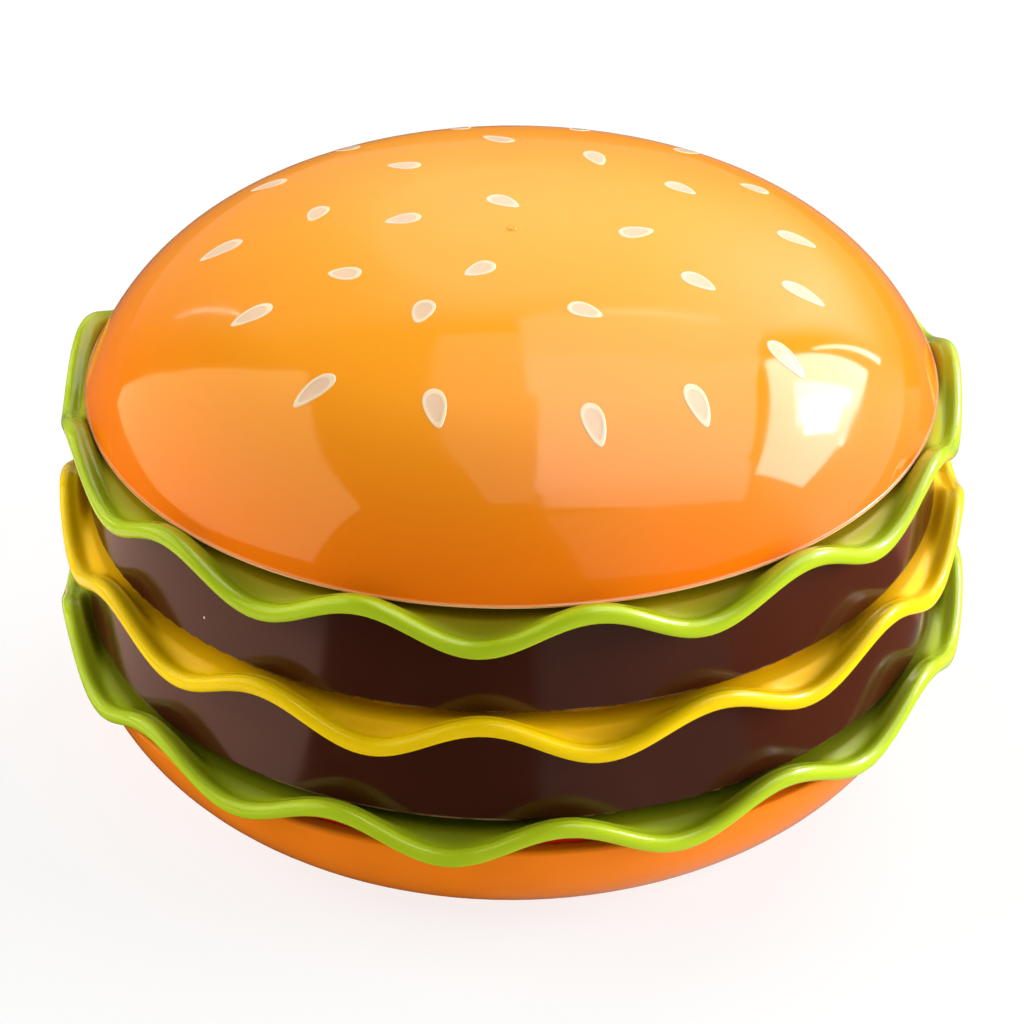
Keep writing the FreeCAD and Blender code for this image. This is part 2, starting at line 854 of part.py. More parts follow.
def make_buzzer():
    body = new_body("ringer_buzzer")
    bottom = board_bottom - dim("buzzer_height")
    radius = dim("buzzer_radius")
    port = dim("buzzer_port")
    revolve(body, [
        (port, bottom),
        (radius - port, bottom),
        (radius, bottom + port),
        (radius, board_bottom),
        (0, board_bottom),
        (0, bottom + port),
        (port, bottom + port),
    ])
    move(body, 0, dim("buzzer_y"))


def make_microphone():
    capsule_bottom = deck_bottom - dim("mic_height")
    capsule = new_body("microphone")
    revolve(capsule, [
        (0, capsule_bottom),
        (dim("mic_radius"), capsule_bottom),
        (dim("mic_radius"), deck_bottom),
        (0, deck_bottom),
    ])
    move(capsule, 0, dim("mic_y"))
    boot = new_body("microphone_boot")
    inner = dim("mic_radius") + dim("pin_fit")
    outer = dim("mic_radius") + dim("boot_wall")
    revolve(boot, [
        (0, capsule_bottom - dim("boot_floor")),
        (outer, capsule_bottom - dim("boot_floor")),
        (outer, deck_bottom),
        (inner, deck_bottom),
        (inner, capsule_bottom),
        (0, capsule_bottom),
    ])
    move(boot, 0, dim("mic_y"))


def make_hook_switch():
    """A plunger that the closed lid holds down, in a switch under the deck."""
    plunger_top = cheese_floor - dim("lid_gap")
    plunger_bottom = plunger_top - dim("plunger_reach")
    radius = dim("plunger_radius")
    rounding = radius / 2
    plunger = new_body("hook_plunger")
    revolve(plunger, [
        (0, plunger_bottom),
        (radius, plunger_bottom),
        (radius, plunger_top - rounding),
        (radius - rounding, plunger_top, rounding),
        (0, plunger_top),
    ])
    move(plunger, 0, dim("hook_y"))
    switch = new_body("hook_switch")
    low = (-dim("hook_half_width"), dim("hook_y") - dim("hook_half_depth"))
    high = (dim("hook_half_width"), dim("hook_y") + dim("hook_half_depth"))
    switch_bottom = plunger_bottom - dim("hook_floor")
    pad_rectangle(switch, switch_bottom, low, high, deck_bottom - switch_bottom)
    bore = new_sketch(switch, "XY_Plane", plunger_bottom - dim("clearance"))
    circles(bore, [(0, dim("hook_y"))], radius + dim("pin_fit"))
    cavity = switch.newObject("PartDesign::Pocket", "cut")
    cavity.Profile = bore
    cavity.Type = "ThroughAll"
    cavity.Reversed = True


def make_slide_switch(switch_name, knob_name, side):
    """A switch on the floor whose knob slides in a slot of the underside."""
    middle = dim("switch_x") * side
    body = new_body(switch_name)
    low = (middle - dim("switch_half_width"), -dim("switch_half_length"))
    high = (middle + dim("switch_half_width"), dim("switch_half_length"))
    pad_rectangle(body, floor_top, low, high, dim("switch_height"))
    slot_half_width = dim("knob_width") / 2 + dim("screw_clearance")
    low = (middle - slot_half_width, -dim("switch_slot_half"))
    high = (middle + slot_half_width, dim("switch_slot_half"))
    cut_rectangle(body, floor_top + dim("switch_slot_depth"), low, high)
    knob = new_body(knob_name)
    knob_bottom = base_level + dim("knob_recess")
    knob_top = floor_top + dim("switch_slot_depth") - dim("clearance")
    half_width = dim("knob_width") / 2
    back = dim("knob_length") / 2 - dim("knob_travel") / 2
    low = (middle - half_width, back - dim("knob_length"))
    pad_rectangle(knob, knob_bottom, low, (middle + half_width, back), knob_top - knob_bottom)


def make_line_jack():
    body = new_body("line_jack")
    half = dim("jack_half_width")
    front = new_sketch(body, "XZ_Plane", -dim("jack_front"))
    rectangle(front, (-half, floor_top), (half, floor_top + dim("jack_height")))
    pad(body, front, dim("jack_depth"))
    socket_back = dim("jack_front") - dim("socket_depth")
    socket_low = floor_top + (dim("jack_height") - dim("socket_height")) / 2
    cavity = new_sketch(body, "XZ_Plane", -socket_back)
    rectangle(cavity, (-dim("socket_half_width"), socket_low),
              (dim("socket_half_width"), socket_low + dim("socket_height")))
    cut_through(body, cavity)
    latch = new_sketch(body, "XZ_Plane", -socket_back)
    latch_half = dim("latch_half_width")
    latch_low = socket_low - dim("latch_depth")
    rectangle(latch, (-latch_half, latch_low), (latch_half, socket_low + dim("latch_depth")))
    cut_through(body, latch)


def make_ballast():
    body = new_body("ballast_plate")
    top = floor_top + dim("ballast_thickness")
    radius = dim("ballast_radius")
    chamfer = dim("ballast_thickness") / 5
    revolve(body, [
        (0, floor_top),
        (radius, floor_top),
        (radius, top - chamfer),
        (radius - chamfer, top),
        (0, top),
    ])


def make_feet():
    bodies = []
    for x, y in four_corners(dim("foot_x"), dim("foot_y")):
        body = new_body("rubber_foot")
        radius = dim("foot_radius")
        chamfer = dim("foot_height") / 2
        revolve(body, [
            (0, 0),
            (radius - chamfer, 0),
            (radius, chamfer),
            (radius, base_level + dim("foot_recess")),
            (0, base_level + dim("foot_recess")),
        ])
        move(body, x, y)
        bodies.append(body)
    group("rubber_feet", bodies)


def make_screws(label, places, seat, shank_radius, head_radius, length):
    """Pan-head screws driven upwards, with the head under its seat."""
    bodies = []
    head_bottom = seat - head_radius * 2 / 3
    chamfer = head_radius / 5
    for x, y in places:
        body = new_body("screw")
        revolve(body, [
            (0, head_bottom),
            (head_radius - chamfer, head_bottom),
            (head_radius, head_bottom + chamfer),
            (head_radius, seat),
            (shank_radius, seat),
            (shank_radius, seat + length - shank_radius),
            (0, seat + length),
        ])
        move(body, x, y)
        bodies.append(body)
    group(label, bodies)


def make_all_screws():
    shank = dim("screw_radius")
    head = dim("screw_head_radius")
    lid_places = four_corners(dim("lid_post_place"), dim("lid_post_place"))
    make_screws("lid_screws", lid_places, ear_bottom, shank, head, dim("lid_screw_length"))
    base_places = four_corners(dim("base_post_place"), dim("base_post_place"))
    base_seat = dim("base_post_bottom") - dim("socket_web")
    make_screws("base_screws", base_places, base_seat, shank, head, dim("base_screw_length"))
    board_places = four_corners(dim("board_boss_x"), dim("board_boss_y"))
    shank = dim("board_screw_radius")
    head = dim("board_screw_head")
    make_screws("board_screws", board_places, board_bottom, shank, head, dim("board_screw_length"))


make_top_bun()
add_flange("upper_lettuce", upper_floor, "upper")
make_upper_patty()
make_ear_plate()
make_receiver()
make_bottom_bun()
make_tomato()
add_flange("lower_lettuce", lower_floor, "lower")
make_lower_patty()
make_hinge_pin()
make_cheese()
make_keypad_deck()
make_keys()
make_keypad_mat()
make_circuit_board()
make_buzzer()
make_microphone()
make_hook_switch()
make_slide_switch("ringer_switch", "ringer_knob", -1)
make_slide_switch("tone_switch", "tone_knob", 1)
make_line_jack()
make_ballast()
make_feet()
make_all_screws()
doc.recompute()

faults = []
for thing in doc.Objects:
    if "Invalid" in thing.State or "Error" in thing.State:
        faults.append(f"{thing.Label}: {thing.State}")
for node in nodes:
    if node.Shape.isNull() or not node.Shape.isValid():
        faults.append(f"{node.Label}: no valid shape")
if faults:
    raise RuntimeError("; ".join(faults))

os.makedirs("parts", exist_ok=True)
for node in nodes:
    node.Shape.exportStep(f"parts/{node.Label}.step")
    print(f"{node.Label}: {len(node.Shape.Solids)} solids, {node.Shape.Volume:.1f} mm3")
print(len(nodes), "nodes")
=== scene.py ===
import json
import math

import bpy
from mathutils import Matrix, Vector


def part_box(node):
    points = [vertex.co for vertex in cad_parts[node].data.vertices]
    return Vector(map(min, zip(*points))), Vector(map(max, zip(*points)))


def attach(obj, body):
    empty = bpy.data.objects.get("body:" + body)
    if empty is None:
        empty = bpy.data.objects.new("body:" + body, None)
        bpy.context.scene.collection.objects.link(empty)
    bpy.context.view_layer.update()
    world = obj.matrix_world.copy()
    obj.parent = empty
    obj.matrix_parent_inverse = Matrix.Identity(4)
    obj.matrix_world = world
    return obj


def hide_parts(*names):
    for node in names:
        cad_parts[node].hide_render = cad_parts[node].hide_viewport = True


# A telephone shaped like a stacked hamburger, dressed around its solid parts.
# Metres, +Z up, front towards -Y.

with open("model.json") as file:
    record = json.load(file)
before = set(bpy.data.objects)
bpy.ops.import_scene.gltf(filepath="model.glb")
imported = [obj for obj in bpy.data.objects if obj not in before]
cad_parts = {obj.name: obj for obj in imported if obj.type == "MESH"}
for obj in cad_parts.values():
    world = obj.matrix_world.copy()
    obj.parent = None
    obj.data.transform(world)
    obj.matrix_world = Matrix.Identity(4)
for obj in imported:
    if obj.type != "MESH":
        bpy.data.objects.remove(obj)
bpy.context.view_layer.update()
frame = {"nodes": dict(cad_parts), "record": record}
nodes = frame["nodes"]
scene = bpy.context.scene

MM = 0.001
UP = Vector((0, 0, 1))

# Top bun: a crown arc that runs into a tighter shoulder arc
BUN_RADIUS = 60.0 * MM
DOME_HEIGHT = 24.2 * MM
CROWN_EDGE = 39.5 * MM
CROWN_RISE = 5.65 * MM
SHELL_WALL = 2.4 * MM
RIM_ROUNDING = 0.45 * MM
RIM_TRIM = 0.6 * RIM_ROUNDING
RIM_START = math.radians(10)
FLAT_RADIUS = 20.0 * MM
FLAT_INNER = 0.7 * FLAT_RADIUS
FLAT_DROP = 0.10 * MM
# Heights above the rim where a thin painted highlight along the edge starts and stops fading
RIM_HIGHLIGHT_BAND = (0.25 * MM, 0.7 * MM)
APEX_GAP = math.radians(0.02)
BUN_COLUMNS = 288
CROWN_STEPS = 60
SHOULDER_STEPS = 48
RIM_STEPS = 6
INNER_SHOULDER_STEPS = 16
INNER_CROWN_STEPS = 20
BUN_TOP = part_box("top_bun")[1].z
RIM_LEVEL = BUN_TOP - DOME_HEIGHT

# Wavy flanges
FLANGE_THICKNESS = 2.2 * MM
FLANGE_HOLE = 52.0 * MM
LIP_HEIGHT = 2.45 * MM
LIP_WIDTH = 2.1 * MM
WAVE_HEIGHT = 2.45 * MM
WAVE_COUNT = 13
LOW_CREST_TURN = math.radians(112.0)
LOW_CREST_SHARE = 0.45
GUTTER_INNER = 7.4 * MM
GUTTER_OUTER = 4.2 * MM
GUTTER_LOW = 2.0 * MM
GUTTER_HIGH = 0.7 * MM
DISH_INSET = 2.5 * MM
DISH_DEPTH = 0.45 * MM
# Rows of a flange's section from its hole out to its dish
DISH_ROWS = 9
DISH_SHINE = 0.06
DISH_ROUGHNESS = 0.45
LETTUCE_SHINE = 0.35
CHEESE_SHINE = 0.2
LIP_ROUGHNESS = 0.10
LIP_END_ANGLE = math.radians(-150)
LIP_TOP_STEPS = 7
LIP_FOOT_STEPS = 9
COLUMNS_PER_WAVE = 28
# How far the middle of each lip lies below its flange's floor, and a turn at which it is lowest
UPPER_LIP = (2.1 * MM, math.radians(-4.2))
CHEESE_LIP = (1.85 * MM, math.radians(-17.2))
LOWER_LIP = (1.45 * MM, math.radians(-7.8))
LAYER_PITCH = 16.3 * MM
LID_GAP = 0.3 * MM
PATTY_FEET = (RIM_LEVEL - LAYER_PITCH + LID_GAP, RIM_LEVEL - 2 * LAYER_PITCH)
# A painted highlight along each patty's lower edge: its height above the foot, then where it starts and
# ends fading
EDGE_HIGHLIGHT_RISE = 0.35 * MM
EDGE_HIGHLIGHT_LINE = (0.1 * MM, 0.3 * MM)
NOTCH_HALF = 21.0 * MM
NOTCH_Y = 57.6 * MM

# Keys
KEY_DISH = 0.35 * MM
KEY_DISH_RADIUS = 30.0 * MM
PRINT_THICKNESS = 0.04 * MM

# The photograph's camera: aimed a little below the middle of the bun's rim
PHOTO_SIZE = 1024
VIEW_ELEVATION = math.radians(30.2)
VIEW_DISTANCE = 464.25 * MM
VIEW_DEPRESSION = math.radians(32.67)
VIEW_ROLL = math.radians(-0.23)
SENSOR = 36.0
LENS = 115.35


# Camera

def view_axes():
    """The camera's right, up and forward directions."""
    forward = Vector((0, math.cos(VIEW_DEPRESSION), -math.sin(VIEW_DEPRESSION)))
    level_right = Vector((1, 0, 0))
    level_up = level_right.cross(forward)
    right = level_right * math.cos(VIEW_ROLL) + level_up * math.sin(VIEW_ROLL)
    up = level_up * math.cos(VIEW_ROLL) - level_right * math.sin(VIEW_ROLL)
    return right, up, forward


def view_place():
    rim_centre = Vector((0, 0, RIM_LEVEL))
    back = Vector((0, -math.cos(VIEW_ELEVATION), math.sin(VIEW_ELEVATION)))
    return rim_centre + back * VIEW_DISTANCE


def pixel_ray(x, y):
    """The direction from the camera through a pixel of the photograph."""
    right, up, forward = view_axes()
    scale = SENSOR / LENS / PHOTO_SIZE
    middle = PHOTO_SIZE / 2
    return (forward + right * ((x - middle) * scale) - up * ((y - middle) * scale)).normalized()


def make_camera():
    data = bpy.data.cameras.new("camera")
    data.lens = LENS
    data.sensor_width = SENSOR
    camera = bpy.data.objects.new("camera", data)
    scene.collection.objects.link(camera)
    right, up, forward = view_axes()
    turn = Matrix((right, up, -forward)).transposed()
    camera.matrix_world = Matrix.Translation(view_place()) @ turn.to_4x4()
    scene.camera = camera


# Node materials

class Graph:
    """A tree of shader nodes, built one node at a time."""

    def __init__(self, tree):
        self.tree = tree

    def node(self, kind, **settings):
        node = self.tree.nodes.new(kind)
        for key, value in settings.items():
            setattr(node, key, value)
        return node

    def plug(self, source, socket):
        if isinstance(source, bpy.types.NodeSocket):
            self.tree.links.new(source, socket)
        else:
            socket.default_value = source

    def axis(self, place, name):
        node = self.node("ShaderNodeSeparateXYZ")
        self.plug(place, node.inputs["Vector"])
        return node.outputs[name]

    def remap(self, source, low, high, new_low, new_high):
        node = self.node("ShaderNodeMapRange", interpolation_type="SMOOTHSTEP")
        values = (source, low, high, new_low, new_high)
        for name, value in zip(("Value", "From Min", "From Max", "To Min", "To Max"), values):
            self.plug(value, node.inputs[name])
        return node.outputs["Result"]

    def math(self, operation, first, second):
        node = self.node("ShaderNodeMath", operation=operation)
        self.plug(first, node.inputs[0])
        self.plug(second, node.inputs[1])
        return node.outputs["Value"]

    def mix(self, amount, first, second):
        node = self.node("ShaderNodeMix", data_type="RGBA")
        self.plug(amount, node.inputs["Factor"])
        self.plug(first, node.inputs["A"])
        self.plug(second, node.inputs["B"])
        return node.outputs["Result"]


class Finish(Graph):
    """A surface material whose textures are fixed to the object's own frame."""

    def __init__(self, name):
        self.material = bpy.data.materials.new(name)
        self.material.use_nodes = True
        super().__init__(self.material.node_tree)
        self.surface = self.tree.nodes["Principled BSDF"]
        self.place = self.node("ShaderNodeTexCoord").outputs["Object"]

    def noise(self, scale, detail):
        node = self.node("ShaderNodeTexNoise")
        self.plug(self.place, node.inputs["Vector"])
        node.inputs["Scale"].default_value = scale
        node.inputs["Detail"].default_value = detail
        return node.outputs["Fac"]

    def ramp(self, source, stops):
        node = self.node("ShaderNodeValToRGB")
        self.plug(source, node.inputs["Fac"])
        elements = node.color_ramp.elements
        for position, colour in stops[1:-1]:
            elements.new(position).color = rgba(colour)
        elements[0].position, elements[0].color = stops[0][0], rgba(stops[0][1])
        elements[-1].position, elements[-1].color = stops[-1][0], rgba(stops[-1][1])
        return node.outputs["Color"]

    def bump(self, source, distance):
        node = self.node("ShaderNodeBump")
        self.plug(source, node.inputs["Height"])
        node.inputs["Distance"].default_value = distance
        self.plug(node.outputs["Normal"], self.surface.inputs["Normal"])

    def specks(self, scale, size, share):
        """Small round dots, one in a share of the cells."""
        cells = self.node("ShaderNodeTexVoronoi")
        self.plug(self.place, cells.inputs["Vector"])
        cells.inputs["Scale"].default_value = scale
        edge = size * scale
        dots = self.remap(cells.outputs["Distance"], edge * SPECK_CORE, edge, 1.0, 0.0)
        pick = self.node("ShaderNodeSeparateColor")
        self.plug(cells.outputs["Color"], pick.inputs["Color"])
        chosen = self.math("LESS_THAN", pick.outputs["Red"], share)
        return self.math("MULTIPLY", dots, chosen)

    def radius(self):
        """Distance from the Z axis."""
        level = self.node("ShaderNodeCombineXYZ")
        for name in "XY":
            self.plug(self.axis(self.place, name), level.inputs[name])
        length = self.node("ShaderNodeVectorMath", operation="LENGTH")
        self.plug(level.outputs["Vector"], length.inputs[0])
        return length.outputs["Value"]

    def cloud(self):
        """Soft patches, from 0 to 1."""
        return self.remap(self.noise(CLOUD_SCALE, CLOUD_DETAIL), *NOISE_RANGE, 0.0, 1.0)

    def drift(self, patches, colour, darker, lighter):
        """A colour that goes with some patches from a darker to a lighter shade."""
        return self.mix(patches, rgba(tint(colour, -darker)), rgba(tint(colour, lighter)))


# Finishes: most of a noise lies in its range, and a scale is about the number of patches in a metre

NOISE_RANGE = (0.3, 0.7)
CLOUD_SCALE = 45.0
CLOUD_DETAIL = 3.0
PLASTIC_DRIFT = 0.07
MOULDING_SCALE = 35.0
MOULDING_DETAIL = 1.0
MOULDING_WAVES = 0.06 * MM
MARK_SCALE = 90.0
MARK_DETAIL = 4.0
MARK_RANGE = (0.35, 0.75)
MARK_ROUGHNESS = 0.05
TOAST_SCALE = 28.0
TOAST_DRIFT = 0.04
BUN_ROUGHNESS = 0.06
BUN_WAVES = 0.05 * MM
BUN_SHINE = 0.35
PATTY_DRIFT = 0.12
PATTY_ROUGHNESS = 0.12
PATTY_SHINE = 0.55
SPECK_SCALE = 220.0
SPECK_SIZE = 0.22 * MM
SPECK_SHARE = 0.05
SPECK_CORE = 0.6
# Patches that break up the painted highlight along the patties' lower edges
EDGE_HIGHLIGHT_SCALE = 130.0
EDGE_HIGHLIGHT_RANGE = (0.42, 0.62)
EDGE_HIGHLIGHT_STRENGTH = 0.7
SATIN_SCALE = 60.0
SATIN_DRIFT = 0.1
GRAIN_SCALE = 2500.0
GRAIN_DETAIL = 2.0
GRAIN_ROUGHNESS = 0.12
GRAIN_DEPTH = 0.02 * MM
PLATING_SCALE = 400.0
PLATING_DARKER = 0.15
PLATING_LIGHTER = 0.1
PLATING_ROUGHNESS = 0.15
INK_ROUGHNESS = 0.12
INK_WAVES = 0.02 * MM


def rgba(colour):
    return (*colour, 1.0)


def tint(colour, amount):
    """The colour made lighter, or darker for a negative amount."""
    return tuple(min(1.0, part * (1 + amount)) for part in colour)


def finish_plastic(shader, colour, roughness, waviness, reflection):
    """Shine, faint handling marks and moulding waves, over a colour."""
    surface = shader.surface
    shader.plug(colour, surface.inputs["Base Color"])
    surface.inputs["Specular IOR Level"].default_value = reflection
    marks = shader.remap(shader.noise(MARK_SCALE, MARK_DETAIL), *MARK_RANGE, 0.0, MARK_ROUGHNESS)
    shader.plug(shader.math("ADD", marks, roughness), surface.inputs["Roughness"])
    shader.bump(shader.noise(MOULDING_SCALE, MOULDING_DETAIL), waviness)


def moulded_plastic(name, colour, roughness=0.10, waviness=MOULDING_WAVES, reflection=0.3):
    """Glossy plastic with a cloudy colour."""
    shader = Finish(name)
    shade = shader.drift(shader.cloud(), colour, PLASTIC_DRIFT, PLASTIC_DRIFT)
    finish_plastic(shader, shade, roughness, waviness, reflection)
    return shader.material


def flange_plastic(name, colour, gutter_shade, lip_radius, roughness, reflection):
    """Plastic with a painted shade that deepens from the lip into the gutter."""
    shader = Finish(name)
    shade = shader.drift(shader.cloud(), colour, PLASTIC_DRIFT, PLASTIC_DRIFT)
    # Painted shade: full in the gutter, fading out by the middle of the lip
    lip_start = lip_radius - GUTTER_OUTER
    lip_middle = lip_radius - LIP_WIDTH / 2
    lip = shader.remap(shader.radius(), lip_start, lip_middle, 0.0, 1.0)
    shade = shader.mix(lip, rgba(gutter_shade), shade)
    finish_plastic(shader, shade, roughness, MOULDING_WAVES, reflection)
    return shader.material


def bun_plastic():
    """Golden crown and deeper orange shoulder, with a thin painted highlight along the rim."""
    shader = Finish("bun_plastic")
    height = shader.axis(shader.place, "Z")
    # Paler and more golden towards the crown: partly the plastic's own tone, partly painted light from
    # above
    level = shader.math("DIVIDE", shader.math("SUBTRACT", height, RIM_LEVEL), DOME_HEIGHT)
    patches = shader.noise(TOAST_SCALE, CLOUD_DETAIL)
    cloud = shader.remap(patches, *NOISE_RANGE, -TOAST_DRIFT, TOAST_DRIFT)
    crown_tone_and_light = shader.ramp(shader.math("ADD", level, cloud), BUN_STOPS)
    # A thin painted highlight along the rim
    highlight_low, highlight_high = (RIM_LEVEL + rise for rise in RIM_HIGHLIGHT_BAND)
    edge = shader.remap(height, highlight_low, highlight_high, 1.0, 0.0)
    shade = shader.mix(edge, crown_tone_and_light, rgba(RIM_HIGHLIGHT))
    finish_plastic(shader, shade, BUN_ROUGHNESS, BUN_WAVES, BUN_SHINE)
    return shader.material


def patty_plastic():
    """Dark glossy plastic with dust specks, and a pale painted highlight here and there along the lower
    edges.
    """
    shader = Finish("patty_plastic")
    shade = shader.drift(shader.cloud(), BROWN, PATTY_DRIFT, PATTY_DRIFT)
    specks = shader.specks(SPECK_SCALE, SPECK_SIZE, SPECK_SHARE)
    shade = shader.mix(specks, shade, rgba(DUST))
    height = shader.axis(shader.place, "Z")
    patches = shader.noise(EDGE_HIGHLIGHT_SCALE, MARK_DETAIL)
    patches = shader.remap(patches, *EDGE_HIGHLIGHT_RANGE, 0.0, EDGE_HIGHLIGHT_STRENGTH)
    # A pale line painted along each lower edge, as a painted highlight
    for foot in PATTY_FEET:
        away = shader.math("ABSOLUTE", shader.math("SUBTRACT", height, foot + EDGE_HIGHLIGHT_RISE), 0.0)
        line = shader.remap(away, *EDGE_HIGHLIGHT_LINE, 1.0, 0.0)
        shade = shader.mix(shader.math("MULTIPLY", line, patches), shade, rgba(EDGE_HIGHLIGHT))
    finish_plastic(shader, shade, PATTY_ROUGHNESS, MOULDING_WAVES, PATTY_SHINE)
    return shader.material


def satin_plastic(name, colour, roughness):
    """Fine-grained plastic or rubber."""
    shader = Finish(name)
    patches = shader.noise(SATIN_SCALE, CLOUD_DETAIL)
    shade = shader.drift(patches, colour, SATIN_DRIFT, SATIN_DRIFT)
    shader.plug(shade, shader.surface.inputs["Base Color"])
    grain = shader.noise(GRAIN_SCALE, GRAIN_DETAIL)
    uneven = shader.remap(grain, *NOISE_RANGE, roughness, roughness + GRAIN_ROUGHNESS)
    shader.plug(uneven, shader.surface.inputs["Roughness"])
    shader.bump(grain, GRAIN_DEPTH)
    return shader.material


def plated_metal(name, colour, roughness):
    """Metal with a slightly uneven shine."""
    shader = Finish(name)
    shader.surface.inputs["Metallic"].default_value = 1.0
    patches = shader.noise(PLATING_SCALE, MARK_DETAIL)
    shade = shader.drift(patches, colour, PLATING_DARKER, PLATING_LIGHTER)
    shader.plug(shade, shader.surface.inputs["Base Color"])
    uneven = shader.remap(patches, *NOISE_RANGE, roughness, roughness + PLATING_ROUGHNESS)
    shader.plug(uneven, shader.surface.inputs["Roughness"])
    return shader.material


# Colour from rim to crown; the paler crown is partly painted light from above
BUN_STOPS = (
    (0.0, (0.92, 0.180, 0.003)),
    (0.3, (0.94, 0.224, 0.006)),
    (0.65, (0.95, 0.295, 0.011)),
    (1.0, (0.96, 0.395, 0.021)),
)
# Colour of the painted highlight along the bun's rim
RIM_HIGHLIGHT = (0.95, 0.55, 0.24)
ORANGE = (0.92, 0.216, 0.006)
LIME = (0.46, 0.61, 0.014)
# Painted shade in the flanges' gutters, next to the wall above them
OLIVE_GUTTER_SHADE = (0.30, 0.23, 0.003)
MOSS_GUTTER_SHADE = (0.17, 0.19, 0.003)
AMBER_GUTTER_SHADE = (0.86, 0.47, 0.001)
YELLOW = (0.94, 0.62, 0.002)
BROWN = (0.052, 0.0108, 0.0036)
RED = (0.50, 0.009, 0.003)
CREAM = (0.86, 0.80, 0.66)
SEED_EDGE = (0.95, 0.72, 0.47)
SEED_FILL = (0.84, 0.57, 0.37)
# Colour of the painted highlight along the patties' lower edges
EDGE_HIGHLIGHT = (0.42, 0.24, 0.13)
DUST = (0.75, 0.6, 0.5)
GOLD = (0.86, 0.62, 0.24)
BLACK = (0.012, 0.012, 0.013)
GREY_RUBBER = (0.34, 0.34, 0.33)
BOARD_GREEN = (0.02, 0.11, 0.04)
STEEL = (0.62, 0.62, 0.64)
IRON = (0.10, 0.10, 0.105)

MATERIALS = {
    "bun_orange": moulded_plastic("lower_bun_plastic", ORANGE, reflection=0.15),
    "lettuce_green": moulded_plastic("lettuce_plastic", LIME, reflection=0.5),
    "patty_brown": patty_plastic(),
    "cheese_yellow": moulded_plastic("cheese_plastic", YELLOW, reflection=0.35),
    "tomato_red": moulded_plastic("tomato_plastic", RED, reflection=0.2),
    "key_white": satin_plastic("key_plastic", CREAM, roughness=0.25),
    "capsule_black": satin_plastic("black_plastic", BLACK, roughness=0.3),
    "black_rubber": satin_plastic("foot_rubber", BLACK, roughness=0.65),
    "mat_rubber": satin_plastic("mat_rubber", GREY_RUBBER, roughness=0.5),
    "board_green": satin_plastic("board_lacquer", BOARD_GREEN, roughness=0.35),
    "capsule_metal": plated_metal("capsule_can", STEEL, roughness=0.25),
    "ballast_iron": plated_metal("ballast_iron", IRON, roughness=0.5),
    "screw_steel": plated_metal("screw_zinc", STEEL, roughness=0.2),
}


# Meshes

SHARP_TURN = math.radians(35)


def add_piece(name, points, faces, materials, body):
    mesh = bpy.data.meshes.new(name)
    mesh.from_pydata(points, [], faces)
    for material in materials:
        mesh.materials.append(material)
    mesh.update()
    mesh.shade_smooth()
    piece = bpy.data.objects.new(name, mesh)
    scene.collection.objects.link(piece)
    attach(piece, body)
    return piece


def ring_faces(rows, columns, closed_rows):
    """Faces between rows of points that each go once round the axis."""
    faces = []
    for row in range(rows if closed_rows else rows - 1):
        after = (row + 1) % rows
        for column in range(columns):
            side = (column + 1) % columns
            here = (row * columns + column, after * columns + column)
            faces.append((*here, after * columns + side, row * columns + side))
    return faces


def turns_round(columns):
    """Evenly spaced turns, once round from the front."""
    return [2 * math.pi * column / columns for column in range(columns)]


def ring_point(radius, turn, height):
    """The point at a radius from the Z axis, turned from the front."""
    return (radius * math.sin(turn), -radius * math.cos(turn), height)


def turned(section, columns):
    """Points and faces of a section turned about the Z axis, with its two ends closed."""
    points = []
    for radius, height in section:
        points += [ring_point(radius, turn, height) for turn in turns_round(columns)]
    last_row = len(points) - columns
    faces = ring_faces(len(section), columns, False)
    faces.append(tuple(range(columns)))
    faces.append(tuple(reversed(range(last_row, last_row + columns))))
    return points, faces


def arc_points(centre, radius, first, last, steps):
    """Points (radius, height) along an arc, angles from the level outward direction."""
    points = []
    for step in range(steps + 1):
        angle = first + (last - first) * step / steps
        points.append((centre[0] + radius * math.cos(angle), centre[1] + radius * math.sin(angle)))
    return points


def smooth_step(value, low, high):
    share = min(1.0, max(0.0, (value - low) / (high - low)))
    return share * share * (3 - 2 * share)


def dome_arcs():
    """Centre, radius and end angle of the crown arc, then of the shoulder arc."""
    crown = (CROWN_EDGE ** 2 + CROWN_RISE ** 2) / (2 * CROWN_RISE)
    lean = math.asin(CROWN_EDGE / crown)
    inset = CROWN_EDGE - BUN_RADIUS
    rise = DOME_HEIGHT - CROWN_RISE
    shoulder = (inset ** 2 + rise ** 2) / (2 * (inset * math.sin(lean) + rise * math.cos(lean)))
    crown_centre = (0.0, BUN_TOP - crown)
    shoulder_centre = (
        CROWN_EDGE - shoulder * math.sin(lean),
        BUN_TOP - CROWN_RISE - shoulder * math.cos(lean),
    )
    rim_angle = math.atan2(RIM_LEVEL - shoulder_centre[1], BUN_RADIUS - shoulder_centre[0])
    return (crown_centre, crown, math.pi / 2 - lean), (shoulder_centre, shoulder, rim_angle)


